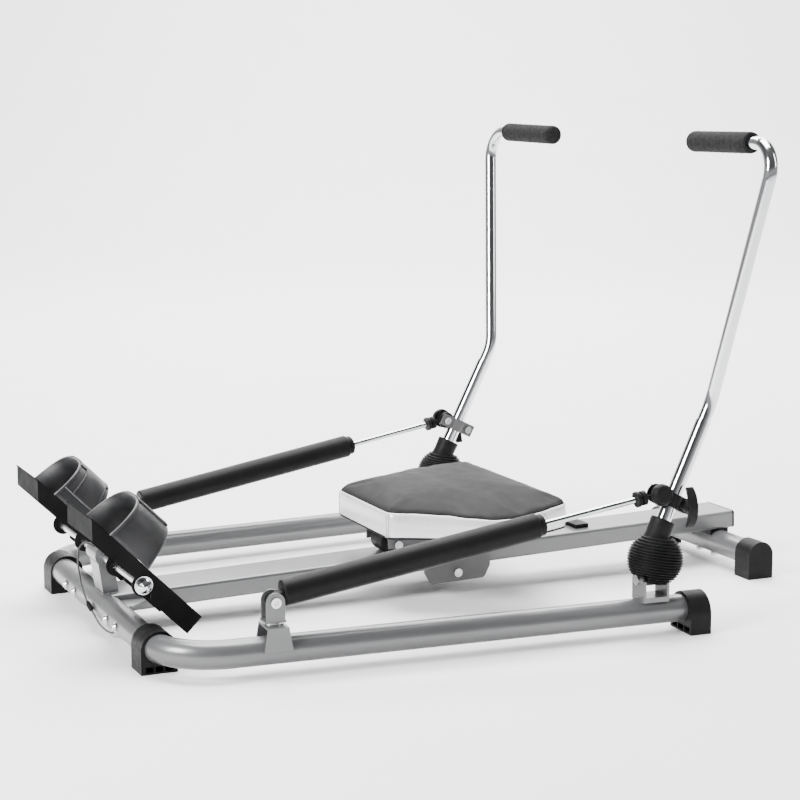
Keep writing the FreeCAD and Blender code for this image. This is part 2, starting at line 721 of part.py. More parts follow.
def clevis():
    """The U that turns on the swivel bolt, with two round-topped ears."""
    half, gauge, radius = 14.0, 3.0, 15.0
    low = 83.0
    pin = PIN
    base = Vector(-17.0, -half, low - pin.z)
    floor = Part.makeBox(34.0, 2 * half, gauge, base)
    ears = []
    for y in (-half, half - gauge):
        plate = Part.makeBox(30.0, gauge, pin.z - low, Vector(-15.0, y, low - pin.z))
        cap = Part.makeCylinder(radius, gauge, Vector(0, y, 0), AXIS_Y)
        ears.append(plate.fuse(cap))
    body = floor.fuse(ears).removeSplitter()
    body = drill(body, Vector(0, -20, 0), Vector(0, 20, 0), 5.0)
    body = drill(body, Vector(0, 0, -60), Vector(0, 0, -20), 6.0 + D["running_clearance"])
    turn = Rotation(AXIS_Z, math.degrees(math.atan2(CYLINDER_RUN.y, CYLINDER_RUN.x)))
    body.Placement = Placement(pin, turn)
    return body


def swivel_bolt():
    """The bolt that holds the clevis on its bracket."""
    head = Part.makeCylinder(9.0, 4.0, Vector(PIN.x, PIN.y, 86.2), AXIS_Z)
    shank = Part.makeCylinder(6.0, 24.0, Vector(PIN.x, PIN.y, 63.0), AXIS_Z)
    collar = Part.makeCylinder(15.0, 3.6, Vector(PIN.x, PIN.y, 79.2), AXIS_Z)
    nut = Part.makeCylinder(9.0, 6.0, Vector(PIN.x, PIN.y, 69.8), AXIS_Z)
    return shank.fuse([head, collar, nut]).removeSplitter()


def cross_recess(shape, face, direction, across):
    """Sinks a cross recess into a screw head whose outer face is centred on a point."""
    other = direction.cross(across)
    for way, square in ((across, other), (other, across)):
        corner = face - way * 4.0 - square * 0.8 - direction * 1.5
        slot = prism([corner, corner + way * 8.0, corner + way * 8.0 + square * 1.6, corner + square * 1.6],
                     direction * 3.0)
        shape = shape.cut(slot)
    return shape


def build_clevis():
    both(cylinder_bracket(), "cylinder_brackets")
    pair(feature("Clevis", clevis()), "cylinder_clevis")
    shank = round_bar(PIN - CYLINDER_SIDE * 15, PIN + CYLINDER_SIDE * 15, 4.95)
    heads = [Part.makeCylinder(8.0, 3.9, PIN + CYLINDER_SIDE * 14.1, CYLINDER_SIDE),
             Part.makeCylinder(8.0, 3.9, PIN - CYLINDER_SIDE * 14.1, CYLINDER_SIDE * -1)]
    pin = shank.fuse(heads).removeSplitter()
    slant = (CYLINDER_RUN + AXIS_Z).normalize()
    for side in (-1, 1):
        way = CYLINDER_SIDE * side
        pin = cross_recess(pin, PIN + way * 18.0, way, slant.cross(way).normalize())
    pair(feature("ClevisPin", pin), "clevis_pin")


def barrel():
    """The black cylinder tube with its closed front end and the eye under it."""
    end = BARREL_START + D["barrel_length"]
    skin = round_bar(along(BARREL_START), along(end), D["barrel_radius"])
    hollow = round_bar(along(BARREL_START + 14), along(end + 1), D["barrel_bore"])
    eye = Part.makeCylinder(10.5, 20.0, PIN - CYLINDER_SIDE * 10, CYLINDER_SIDE)
    neck_points = [Vector(-6, -10, -6), Vector(-6, -10, 9), Vector(24, -10, 18), Vector(24, -10, -2)]
    neck = prism(neck_points, Vector(0, 20, 0))
    turn = Rotation(AXIS_Z, math.degrees(math.atan2(CYLINDER_RUN.y, CYLINDER_RUN.x)))
    neck.Placement = Placement(PIN, turn)
    rims = [e for e in skin.Edges if isinstance(e.Curve, Part.Circle)]
    skin = skin.makeFillet(3.0, rims)
    body = skin.fuse([eye, neck]).cut(hollow).removeSplitter()
    return drill(body, PIN - CYLINDER_SIDE * 30, PIN + CYLINDER_SIDE * 30, 4.95 + D["running_clearance"])


def gland():
    """The stepped end plug that the rod slides through."""
    end = BARREL_START + D["barrel_length"]
    plug = round_bar(along(end - 16), along(end), D["barrel_bore"])
    step = round_bar(along(end), along(end + 9), 17.5)
    nose = round_bar(along(end + 9), along(end + 12), 13.0)
    body = plug.fuse([step, nose]).removeSplitter()
    return drill(body, along(end - 30), along(end + 20), D["rod_radius"] + D["running_clearance"])


def rod():
    """The piston and the plated rod that slides in the gland."""
    bar = round_bar(along(270), along(ROD_TOTAL - 41.1), D["rod_radius"])
    piston = round_bar(along(256), along(276), D["piston_radius"])
    return bar.fuse(piston).removeSplitter()


def rod_end():
    """The knuckle screwed on the rod, with the flat eye that sits in the arm's clamp."""
    eye = Part.makeCylinder(10.5, 5.0, EYE - SWING_AXIS * 2.5, SWING_AXIS)
    flange = round_bar(along(ROD_TOTAL - 41), along(ROD_TOTAL - 36), 13.0)
    waist = round_bar(along(ROD_TOTAL - 36), along(ROD_TOTAL - 31), 9.5)
    bulb = round_bar(along(ROD_TOTAL - 31), along(ROD_TOTAL - 24), 12.0)
    link = round_bar(along(ROD_TOTAL - 24), along(ROD_TOTAL - 4), 2.45)
    return flange.fuse([waist, bulb, eye, link]).removeSplitter()


def build_cylinders():
    pair(feature("Barrel", barrel().fuse(gland()).removeSplitter()), "cylinder_barrel")
    pair(feature("Rod", rod()), "cylinder_rod")
    pair(feature("RodEnd", rod_end()), "rod_end")


# ---------------------------------------------------------------- arms

def arm_bracket():
    """The U bracket welded on the rail, its two uprights one behind the other."""
    half_run, half_width, gauge = 23.0, 21.0, 4.0
    low, high = 58.0, 106.0
    origin = rail_point(SPREAD_PIVOT.x, 0)
    place = Placement(origin, Rotation(AXIS_Z, math.degrees(math.atan(D["rail_splay"]))))
    floor = Part.makeBox(2 * half_run, 2 * half_width, gauge + 4, Vector(-half_run, -half_width, low))
    uprights = []
    for x in (-half_run, half_run - gauge):
        wall = Part.makeBox(gauge, 2 * half_width, SPREAD_PIVOT.z - low, Vector(x, -half_width, low))
        crown = Part.makeCylinder(high - SPREAD_PIVOT.z, gauge, Vector(x, 0, SPREAD_PIVOT.z), AXIS_X)
        uprights.append(wall.fuse(crown))
    body = floor.fuse(uprights).removeSplitter()
    body = drill(body, Vector(-40, 0, SPREAD_PIVOT.z), Vector(40, 0, SPREAD_PIVOT.z), 5.02)
    body.Placement = place
    rail_start, rail_end = rail_point(SPREAD_PIVOT.x - 60), rail_point(SPREAD_PIVOT.x + 60)
    return body.cut(round_bar(rail_start, rail_end, D["tube_radius"] + 0.05))


def spread_bolt():
    start = SPREAD_PIVOT - RAIL_RUN * 27
    shank = round_bar(start, SPREAD_PIVOT + RAIL_RUN * 27, 5.0)
    head = Part.makeCylinder(8.5, 5.0, SPREAD_PIVOT - RAIL_RUN * 28.2, RAIL_RUN)
    nut = Part.makeCylinder(8.5, 6.0, SPREAD_PIVOT + RAIL_RUN * 23.2, RAIL_RUN)
    return shank.fuse([head, nut]).removeSplitter()


def yoke():
    """The block that turns on the spread bolt and carries the swing pin."""
    length, width = 34.0, 14.0
    start = SPREAD_PIVOT - RAIL_RUN * (length / 2)
    lug = Part.makeCylinder(11.0, length, start, RAIL_RUN)
    reach, half = RAIL_RUN * 14.0, RAIL_SIDE * 5.5
    foot = [SPREAD_PIVOT - reach - half, SPREAD_PIVOT + reach - half,
            SPREAD_PIVOT + reach + half, SPREAD_PIVOT - reach + half]
    web = prism(foot, Vector(-3.0, SWING_PIVOT.y - SPREAD_PIVOT.y, SWING_PIVOT.z - SPREAD_PIVOT.z))
    head = Part.makeCylinder(13.0, width, SWING_PIVOT - SWING_AXIS * (width / 2), SWING_AXIS)
    body = lug.fuse([web, head]).removeSplitter()
    bore = 5.0 + D["running_clearance"]
    body = drill(body, SPREAD_PIVOT - RAIL_RUN * 40, SPREAD_PIVOT + RAIL_RUN * 40, bore)
    return drill(body, SWING_PIVOT - SWING_AXIS * 40, SWING_PIVOT + SWING_AXIS * 40, bore)


def arm_fork():
    """The fork welded to the arm's foot, one cheek each side of the yoke."""
    gap, gauge = 7.6, 4.0
    cheeks = []
    for side in (-1, 1):
        way = SWING_AXIS * side
        disc = Part.makeCylinder(12.0, gauge, SWING_PIVOT + way * gap, way)
        corner = SWING_PIVOT + way * gap - ACROSS * 10
        other = corner + ACROSS * 20
        bar = prism([corner, other, other + ARM_RUN * 26, corner + ARM_RUN * 26], way * gauge)
        cheeks.append(disc.fuse(bar))
    roof = Part.makeCylinder(12.0, 5.0, SWING_PIVOT + ARM_RUN * 21, ARM_RUN)
    pin = round_bar(SWING_PIVOT - SWING_AXIS * 13, SWING_PIVOT + SWING_AXIS * 13, 5.0)
    return roof.fuse(cheeks + [pin]).removeSplitter()


def build_arm_base():
    both(arm_bracket(), "arm_brackets")
    pair(feature("Yoke", yoke()), "arm_yoke")


BOOT_CENTRE = Vector(245.0, 406.0, 124.0)


def bracket_room():
    """The room the bracket's uprights and bolt ends need inside the boot."""
    splay = Rotation(AXIS_Z, math.degrees(math.atan(D["rail_splay"])))
    place = Placement(rail_point(SPREAD_PIVOT.x, 0), splay)
    walls = [Part.makeBox(6.0, 44.0, 77.0, Vector(x, -22.0, 30.0)) for x in (-24.0, 18.0)]
    bolt = Part.makeCylinder(12.0, 60.0, Vector(-30.0, 0, SPREAD_PIVOT.z), AXIS_X)
    room = walls[0].fuse([walls[1], bolt])
    room.Placement = place
    return room


def boot():
    """The rubber bellows over the arm's pivot: a hollow ball with a collar round the arm."""
    wall = 3.0
    ball = Part.makeSphere(D["boot_radius"], BOOT_CENTRE)
    core = Part.makeSphere(D["boot_radius"] - wall, BOOT_CENTRE)
    collar = round_bar(SWING_PIVOT + ARM_RUN * 42, SWING_PIVOT + ARM_RUN * 70, D["boot_neck"])
    step = round_bar(SWING_PIVOT + ARM_RUN * 70, SWING_PIVOT + ARM_RUN * 75, D["boot_neck"] - 3)
    bore = round_bar(SWING_PIVOT, SWING_PIVOT + ARM_RUN * 90, D["arm_tube_radius"] + 0.4)
    below = Part.makeBox(200, 200, 60, Vector(BOOT_CENTRE.x - 100, BOOT_CENTRE.y - 100, 26.0))
    skin = ball.fuse([collar, step]).cut(core).cut(bore)
    return skin.cut(below).cut(bracket_room()).removeSplitter()


SLEEVE_TOP = ARM_BEND - ARM_RUN * 34.0
UPPER_FOOT = ARM_BEND - ARM_RUN * 110.0
TOP_CORNER = Vector(397.8, 497.7, 795.0)
GRIP_INNER = Vector(405.0, 243.0, 792.0)
GRIP_WAY = (TOP_CORNER - GRIP_INNER).normalize()
GRIP_LENGTH = 180.0


def build_arms():
    lower = round_bar(SWING_PIVOT + ARM_RUN * 26, SLEEVE_TOP, D["arm_tube_radius"])
    lower = lower.cut(round_bar(SWING_PIVOT + ARM_RUN * 25, SLEEVE_TOP + ARM_RUN, D["arm_tube_bore"]))
    pair(feature("LowerArm", lower.fuse(arm_fork()).removeSplitter()), "lower_arm")
    tube_end = GRIP_INNER + GRIP_WAY * 4
    points = [UPPER_FOOT, ARM_BEND, TOP_CORNER, tube_end]
    bends = [D["arm_bend_radius"], D["top_bend_radius"]]
    upper = bent_tube(points, bends, D["upper_tube_radius"], D["upper_tube_bore"])
    pair(feature("UpperArm", upper), "upper_arm")
    grip = Part.makeCylinder(D["grip_radius"], GRIP_LENGTH, GRIP_INNER, GRIP_WAY)
    bore = Part.makeCylinder(D["upper_tube_radius"] + 0.05, GRIP_LENGTH, tube_end - GRIP_WAY * 0.2, GRIP_WAY)
    grip = grip.cut(bore)
    rims = [i for i in grip.Edges if isinstance(i.Curve, Part.Circle) and i.Curve.Radius > 17.0]
    pair(feature("Grip", grip.makeFillet(3.5, rims)), "hand_grip")


# ---------------------------------------------------------------- arm clamps

CLAMP_NEAR = 7.0


def clamp_plate(side):
    """A flat bar across the arm, humped where it wraps the tube."""
    near, gauge = CLAMP_NEAR, 3.5
    way = SWING_AXIS * side
    start = CLAMP + way * near
    corner = start - ACROSS * 40 - ARM_RUN * 11.5
    points = [corner, corner + ACROSS * 76, corner + ACROSS * 76 + ARM_RUN * 23, corner + ARM_RUN * 23]
    plate = prism(points, way * gauge)
    bulge = round_bar(CLAMP - ARM_RUN * 11.5, CLAMP + ARM_RUN * 11.5, D["arm_tube_radius"] + gauge)
    half_space = prism([start - ACROSS * 30 - ARM_RUN * 12, start + ACROSS * 30 - ARM_RUN * 12,
                        start + ACROSS * 30 + ARM_RUN * 12, start - ACROSS * 30 + ARM_RUN * 12], way * 30)
    plate = plate.fuse(bulge.common(half_space))
    plate = plate.cut(round_bar(CLAMP - ARM_RUN * 30, CLAMP + ARM_RUN * 30, D["arm_tube_radius"] + 0.05))
    for bolt in (FRONT_BOLT, REAR_BOLT):
        plate = drill(plate, bolt - SWING_AXIS * 40, bolt + SWING_AXIS * 40, 4.1)
    return plate.removeSplitter()


def housing(start, end, radius, dome):
    """A round black half of the ball-joint housing, with its outer face domed."""
    way = SWING_AXIS if end > start else SWING_AXIS * -1
    base = FRONT_BOLT + SWING_AXIS * start
    body = Part.makeCylinder(radius, abs(end - start), base, way)
    if dome:
        rim = [e for e in body.Edges if isinstance(e.Curve, Part.Circle)
               and (e.Curve.Center - base).Length > abs(end - start) / 2]
        body = body.makeFillet(9.0, rim)
    return body


def build_clamps():
    pair(feature("ClampPlates", Part.makeCompound([clamp_plate(-1), clamp_plate(1)])), "clamp_plates")
    for_bolt = round_bar(FRONT_BOLT - SWING_AXIS * 60, FRONT_BOLT + SWING_AXIS * 16, 4.1)
    for_arm = round_bar(CLAMP - ARM_RUN * 40, CLAMP + ARM_RUN * 40, D["arm_tube_radius"] + 3.7)
    halves = [housing(10.7, 26.0, 18.0, True), housing(-6.9, -3.6, 16.0, False)]
    halves = [half.cut([for_bolt, for_arm]) for half in halves]
    pair(feature("JointHousing", Part.makeCompound(halves)), "rod_joint_housing")
    head_face = CLAMP_NEAR + 3.5 + 3.1
    front_shank = round_bar(FRONT_BOLT - SWING_AXIS * (head_face - 1), FRONT_BOLT - SWING_AXIS * 3.2, 4.0)
    front_head = Part.makeCylinder(7.0, 3.0, FRONT_BOLT - SWING_AXIS * head_face, SWING_AXIS)
    rear_shank = round_bar(REAR_BOLT - SWING_AXIS * (head_face - 1), REAR_BOLT + SWING_AXIS * 26, 4.0)
    rear_head = Part.makeCylinder(7.0, 3.0, REAR_BOLT - SWING_AXIS * head_face, SWING_AXIS)
    collar = Part.makeCylinder(9.5, 8.5, REAR_BOLT + SWING_AXIS * 10.7, SWING_AXIS)
    screws = [front_shank.fuse(front_head).removeSplitter(),
              rear_shank.fuse([rear_head, collar]).removeSplitter()]
    screws = [cross_recess(screw, bolt - SWING_AXIS * head_face, SWING_AXIS * -1, ACROSS)
              for screw, bolt in zip(screws, (FRONT_BOLT, REAR_BOLT))]
    pair(feature("ClampScrews", Part.makeCompound(screws)), "clamp_screws")
    pair(feature("TKnob", t_knob()), "t_knob")


def t_knob():
    """The crescent knob that tightens the clamp."""
    seat = REAR_BOLT + SWING_AXIS * 19.6
    up = Vector(0, 0, 1) - SWING_AXIS * SWING_AXIS.z
    up.normalize()
    across = SWING_AXIS.cross(up)
    hub = Part.makeCone(10.5, 8.0, 12.0, seat, SWING_AXIS)

    def at(out, rise):
        return seat + SWING_AXIS * out + up * rise - across * 6.5

    edges = [Part.Arc(at(2, 33), at(19, 0), at(2, -33)).toShape(),
             Part.LineSegment(at(2, -33), at(-0.5, -31)).toShape(),
             Part.Arc(at(-0.5, -31), at(8, 0), at(-0.5, 31)).toShape(),
             Part.LineSegment(at(-0.5, 31), at(2, 33)).toShape()]
    wings = Part.Face(Part.Wire(edges)).extrude(across * 13)
    body = hub.fuse(wings).removeSplitter()
    return drill(body, REAR_BOLT, REAR_BOLT + SWING_AXIS * 27, 4.0 + D["running_clearance"])


# ---------------------------------------------------------------- seat and carriage

SEAT_OUTLINE = [(-98.0, 107.0), (-64.0, 129.0), (-14.0, 166.0), (16.0, 193.0), (56.0, 217.0), (96.0, 220.0),
                (136.0, 208.0), (176.0, 194.0), (205.0, 183.0)]


def seat_wire(inset, height):
    """The seat's outline: straight front and back, curved sides."""
    right = [Vector(x, y - inset, height) for x, y in SEAT_OUTLINE]
    right[0].x += inset
    right[-1].x -= inset
    left = [Vector(p.x, -p.y, p.z) for p in reversed(right)]
    side_right = Part.BSplineCurve()
    side_right.interpolate(right)
    side_left = Part.BSplineCurve()
    side_left.interpolate(left)
    edges = [side_right.toShape(), Part.LineSegment(right[-1], left[0]).toShape(),
             side_left.toShape(), Part.LineSegment(left[-1], right[0]).toShape()]
    return Part.Wire(edges)


def seat_block(inset, low, high):
    """A slab with the seat's outline."""
    return Part.Face(seat_wire(inset, low)).extrude(Vector(0, 0, high - low))


def build_seat():
    """The plywood board, the foam pad with its crowned cover, and the band sewn round it."""
    low = D["seat_underside"]
    board_top = low + D["seat_board"]
    seam = low + D["seat_height"]
    node(feature("SeatBoard", seat_block(6.0, low, board_top), BEAM_PLACE), "seat_board")
    band = seat_block(0.0, low, seam).cut(seat_block(3.0, low - 1, seam + 1))
    node(feature("SeatBand", band, BEAM_PLACE), "seat_band")
    core = seat_block(3.0, board_top, seam)
    rim = seat_block(0.0, seam, seam + 0.8)
    crown = Part.makeLoft([seat_wire(0.0, seam + 0.8), seat_wire(34.0, seam + D["seat_crown"])], True, True)
    node(feature("SeatPad", core.fuse([rim, crown]).removeSplitter(), BEAM_PLACE), "seat_pad")


ROLLER_X = (-52.0, 166.0)
ROLLER_HEIGHT = D["roller_radius"] + 0.25
PLATE_X = (-3.0, 125.0)


def carriage():
    """A channel under the seat whose side plates hang past the beam."""
    half, gauge = D["beam_width"] / 2 + 4.0, 3.0
    low = D["seat_underside"] - gauge - 0.3
    top = Part.makeBox(252.0, 2 * half, gauge, Vector(-70.0, -half, low))
    bend, foot = -D["beam_depth"] - 4, -D["beam_depth"] - 26
    walls = []
    for side in (-1, 1):
        y = half - gauge if side > 0 else -half
        rim = Part.makeBox(252.0, gauge, 36.0, Vector(-70.0, y, low - 36.0 + gauge))
        points = [Vector(PLATE_X[0], y, low), Vector(PLATE_X[1], y, low), Vector(PLATE_X[1], y, bend),
                  Vector(PLATE_X[1] - 12, y, foot), Vector(PLATE_X[0] + 12, y, foot),
                  Vector(PLATE_X[0], y, bend)]
        plate = prism(points, Vector(0, gauge, 0))
        corners = [e for e in plate.Edges if abs(e.BoundBox.ZMax - foot) < 0.1
                   and e.BoundBox.YLength > gauge - 0.1 and e.BoundBox.XLength < 0.1]
        plate = plate.makeFillet(9.0, corners)
        for x in ROLLER_X:
            rim = drill(rim, Vector(x, y - 5, ROLLER_HEIGHT), Vector(x, y + 8, ROLLER_HEIGHT), 4.1)
        plate = drill(plate, Vector(61.0, y - 5, LOWER_ROLLER_Z), Vector(61.0, y + 8, LOWER_ROLLER_Z), 4.1)
        walls.extend([rim, plate])
    body = top.fuse(walls).removeSplitter()
    return body


LOWER_ROLLER_R = 10.0
LOWER_ROLLER_Z = -D["beam_depth"] - LOWER_ROLLER_R - 0.4


def roller(x, z, radius, half):
    body = Part.makeCylinder(radius, 2 * half, Vector(x, -half, z), AXIS_Y)
    body = body.cut(Part.makeCylinder(4.0 + D["running_clearance"], 2 * half, Vector(x, -half, z), AXIS_Y))
    rims = [e for e in body.Edges if isinstance(e.Curve, Part.Circle) and e.Curve.Radius > 8]
    return body.makeChamfer(1.5, rims)


def through_bolt(x, z):
    """An axle bolt across the carriage with a domed head and a nut."""
    half = D["beam_width"] / 2 + 4.0
    shank = Part.makeCylinder(4.0, 2 * half + 8, Vector(x, -half - 4, z), AXIS_Y)
    head = Part.makeCylinder(7.5, 4.0, Vector(x, -half - 4.2, z), AXIS_Y)
    nut = Part.makeCylinder(7.5, 6.0, Vector(x, half + 0.2, z), AXIS_Y)
    return shank.fuse([head, nut]).removeSplitter()


def build_carriage():
    node(feature("Carriage", carriage(), BEAM_PLACE), "seat_carriage")
    lift = ROLLER_HEIGHT
    radius, half = D["roller_radius"], D["roller_half_width"]
    node(feature("FrontRoller", roller(ROLLER_X[0], lift, radius, half), BEAM_PLACE), "front_roller")
    node(feature("RearRoller", roller(ROLLER_X[1], lift, radius, half), BEAM_PLACE), "rear_roller")
    keeper = roller(61.0, LOWER_ROLLER_Z, LOWER_ROLLER_R, half)
    node(feature("KeeperRoller", keeper, BEAM_PLACE), "keeper_roller")
    bolts = [through_bolt(x, lift) for x in ROLLER_X] + [through_bolt(61.0, LOWER_ROLLER_Z)]
    node(feature("RollerBolts", Part.makeCompound(bolts), BEAM_PLACE), "roller_bolts")


# ---------------------------------------------------------------- build, check and write

build_base_frame()
build_beam()
build_beam_fittings()
build_stabilizer()
build_feet()
build_foot_post()
build_foot_axle()
build_foot_plates()
build_lead()
build_clevis()
build_cylinders()
build_arm_base()
pair(feature("Boot", boot()), "pivot_boot")
build_arms()
build_clamps()
build_seat()
build_carriage()
doc.recompute()

for thing in doc.Objects:
    if "Invalid" in thing.State or "Error" in thing.State:
        raise RuntimeError("%s failed: %s" % (thing.Name, thing.State))

os.makedirs("parts", exist_ok=True)
for thing in nodes:
    shape = thing.Shape
    if shape.isNull() or not shape.isValid():
        raise RuntimeError("%s has no valid shape" % thing.Label)
    shape.exportStep("parts/%s.step" % thing.Label)
print("%d nodes written" % len(nodes))
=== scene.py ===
import json
import math

import bmesh
import bpy
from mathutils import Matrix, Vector


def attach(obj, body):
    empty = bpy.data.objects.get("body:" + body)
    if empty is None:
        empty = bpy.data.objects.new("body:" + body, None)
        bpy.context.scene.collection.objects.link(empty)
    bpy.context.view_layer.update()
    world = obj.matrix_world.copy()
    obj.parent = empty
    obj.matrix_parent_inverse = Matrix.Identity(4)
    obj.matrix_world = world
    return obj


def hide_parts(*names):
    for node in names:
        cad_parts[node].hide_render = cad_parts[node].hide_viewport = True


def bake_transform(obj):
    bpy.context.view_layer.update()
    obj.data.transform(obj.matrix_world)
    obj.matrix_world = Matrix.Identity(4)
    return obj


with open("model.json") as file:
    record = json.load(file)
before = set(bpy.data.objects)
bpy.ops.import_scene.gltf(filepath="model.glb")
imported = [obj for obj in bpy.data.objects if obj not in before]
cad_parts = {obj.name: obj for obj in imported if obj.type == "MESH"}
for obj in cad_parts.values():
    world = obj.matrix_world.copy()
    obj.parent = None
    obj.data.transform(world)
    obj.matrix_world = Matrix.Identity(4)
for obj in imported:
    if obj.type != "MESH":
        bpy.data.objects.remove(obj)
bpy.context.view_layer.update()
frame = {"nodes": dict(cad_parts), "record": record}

SIDES = (("right", 1.0), ("left", -1.0))


# ---------------------------------------------------------------- camera, floor and light

# name, place, aim, size and power of each area light
LIGHTS = (
    ("key", (-4.0, -1.0, 2.6), (0, 0, 0.2), (1.6, 1.8), 430),
    ("fill", (3.4, -2.4, 2.6), (0, 0, 0.3), (0.8, 2.4), 60),
    ("top", (0.1, 0.5, 4.2), (0, 0, 0.2), (3.2, 2.4), 420),
    ("backdrop", (1.9, 4.4, 4.6), (2.3, 5.4, 0.0), (6.0, 4.5), 1150),
)
# height between straight down (0) and straight up (1), and how bright the room is there
WORLD_STOPS = ((0.0, 0.20), (0.46, 0.35), (0.50, 0.60), (0.57, 0.50), (0.66, 0.12), (1.0, 0.20))
WORLD_STRENGTH = 0.9
FLOOR_TURN = -24.3  # degrees; squares the floor's back wall to the camera


def new_object(name, data):
    """An object for the data, linked to the scene."""
    thing = bpy.data.objects.new(name, data)
    bpy.context.collection.objects.link(thing)
    return thing


def add_camera():
    """The photograph's view of the machine."""
    data = bpy.data.cameras.new("camera")
    data.lens = 89.15
    data.sensor_width = 36.0
    data.clip_end = 60.0
    camera = new_object("camera", data)
    camera.location = (-1.4262, -3.0996, 0.8814)
    camera.rotation_euler = (math.radians(81.035), 0.0, math.radians(-24.297))
    bpy.context.scene.camera = camera


def add_area_light(name, place, aim, size, power):
    data = bpy.data.lights.new(name, "AREA")
    data.shape = "RECTANGLE"
    data.size = size[0]
    data.size_y = size[1]
    data.energy = power
    light = new_object(name, data)
    light.location = place
    way = Vector(aim) - Vector(place)
    light.rotation_euler = way.to_track_quat("-Z", "Y").to_euler()


def add_world():
    """A soft pale room for the chrome to show, brightest at the horizon and dimmer overhead."""
    world = bpy.data.worlds.new("studio")
    bpy.context.scene.world = world
    world.use_nodes = True
    tree = world.node_tree
    background = tree.nodes["Background"]
    coords = tree.nodes.new("ShaderNodeTexCoord")
    split = tree.nodes.new("ShaderNodeSeparateXYZ")
    ramp = tree.nodes.new("ShaderNodeValToRGB")
    while len(ramp.color_ramp.elements) < len(WORLD_STOPS):
        ramp.color_ramp.elements.new(0.5)
    for element, (position, level) in zip(ramp.color_ramp.elements, WORLD_STOPS):
        element.position = position
        element.color = (level, level, level * 1.005, 1)
    remap = tree.nodes.new("ShaderNodeMapRange")
    remap.inputs["From Min"].default_value = -1.0
    tree.links.new(coords.outputs["Generated"], split.inputs[0])
    tree.links.new(split.outputs["Z"], remap.inputs["Value"])
    tree.links.new(remap.outputs["Result"], ramp.inputs["Fac"])
    tree.links.new(ramp.outputs["Color"], background.inputs["Color"])
    background.inputs["Strength"].default_value = WORLD_STRENGTH


def add_floor():
    """A pale sweep: a flat floor that curves up far behind the machine."""
    half, bend, back, top = 14.0, 3.0, 9.0, 12.0
    rows = [(-half, 0.0), (back - bend, 0.0)]
    for step in range(1, 13):
        angle = math.radians(7.5 * step)
        rows.append((back - bend + bend * math.sin(angle), bend - bend * math.cos(angle)))
    rows.append((back, top))
    mesh = bpy.data.meshes.new("floor")
    verts = []
    for y, z in rows:
        verts.extend([(-half, y, z), (half, y, z)])
    faces = [(2 * i, 2 * i + 1, 2 * i + 3, 2 * i + 2) for i in range(len(rows) - 1)]
    mesh.from_pydata(verts, [], faces)
    shade_smooth(mesh)
    floor = new_object("floor", mesh)
    floor.rotation_euler = (0, 0, math.radians(FLOOR_TURN))
    paint = start_material("floor_paint", (0.93, 0.93, 0.93), 0.0, 0.9)
    mottle(paint, (0.925, 0.925, 0.925), (0.94, 0.94, 0.94), 3.0)
    mesh.materials.append(paint["material"])


# ---------------------------------------------------------------- materials

NOISE_SPAN = (0.3, 0.7)  # the part of the noise's values that is stretched over a range


def start_material(name, colour, metallic, roughness):
    """A principled material and the nodes that the detail functions add to."""
    material = bpy.data.materials.new(name)
    material.use_nodes = True
    tree = material.node_tree
    shader = tree.nodes["Principled BSDF"]
    shader.inputs["Base Color"].default_value = (*colour, 1)
    shader.inputs["Metallic"].default_value = metallic
    shader.inputs["Roughness"].default_value = roughness
    coords = tree.nodes.new("ShaderNodeTexCoord")
    return {"material": material, "tree": tree, "shader": shader, "coords": coords.outputs["Object"]}


def noise(kit, scale, detail=4.0):
    """A noise value over the object's own coordinates, in features per metre."""
    tree = kit["tree"]
    node = tree.nodes.new("ShaderNodeTexNoise")
    node.inputs["Scale"].default_value = scale
    node.inputs["Detail"].default_value = detail
    tree.links.new(kit["coords"], node.inputs["Vector"])
    return node.outputs["Fac"]


def cells(kit, scale):
    """Cell pattern for grain and pores."""
    tree = kit["tree"]
    node = tree.nodes.new("ShaderNodeTexVoronoi")
    node.inputs["Scale"].default_value = scale
    tree.links.new(kit["coords"], node.inputs["Vector"])
    return node.outputs["Distance"]


def mottle(kit, dark, light, scale):
    """Base colour that drifts between two shades."""
    tree = kit["tree"]
    ramp = tree.nodes.new("ShaderNodeValToRGB")
    for element, position, shade in zip(ramp.color_ramp.elements, NOISE_SPAN, (dark, light)):
        element.position = position
        element.color = (*shade, 1)
    tree.links.new(noise(kit, scale), ramp.inputs["Fac"])
    tree.links.new(ramp.outputs["Color"], kit["shader"].inputs["Base Color"])


def vary_roughness(kit, low, high, scale):
    """Roughness that drifts between two values."""
    tree = kit["tree"]
    remap = tree.nodes.new("ShaderNodeMapRange")
    remap.inputs["From Min"].default_value, remap.inputs["From Max"].default_value = NOISE_SPAN
    remap.inputs["To Min"].default_value = low
    remap.inputs["To Max"].default_value = high
    tree.links.new(noise(kit, scale, 5.0), remap.inputs["Value"])
    tree.links.new(remap.outputs["Result"], kit["shader"].inputs["Roughness"])


def bump(kit, height, strength, distance):
    """Adds one bump on top of those already there."""
    tree = kit["tree"]
    node = tree.nodes.new("ShaderNodeBump")
    node.inputs["Strength"].default_value = strength
    node.inputs["Distance"].default_value = distance
    tree.links.new(height, node.inputs["Height"])
    if kit.get("bump") is not None:
        tree.links.new(kit["bump"], node.inputs["Normal"])
    kit["bump"] = node.outputs["Normal"]
    tree.links.new(node.outputs["Normal"], kit["shader"].inputs["Normal"])


def constant(kit, socket, value):
    """Sets a shader input that is the same all over."""
    kit["shader"].inputs[socket].default_value = value


def silver_paint():
    kit = start_material("silver_paint", (0.120, 0.1215, 0.124), 0.45, 0.34)
    mottle(kit, (0.114, 0.1155, 0.118), (0.126, 0.1275, 0.130), 5.0)
    vary_roughness(kit, 0.31, 0.37, 30.0)
    bump(kit, noise(kit, 1600.0, 2.0), 0.05, 0.0002)
    constant(kit, "Coat Weight", 0.4)
    constant(kit, "Coat Roughness", 0.16)
    return kit["material"]


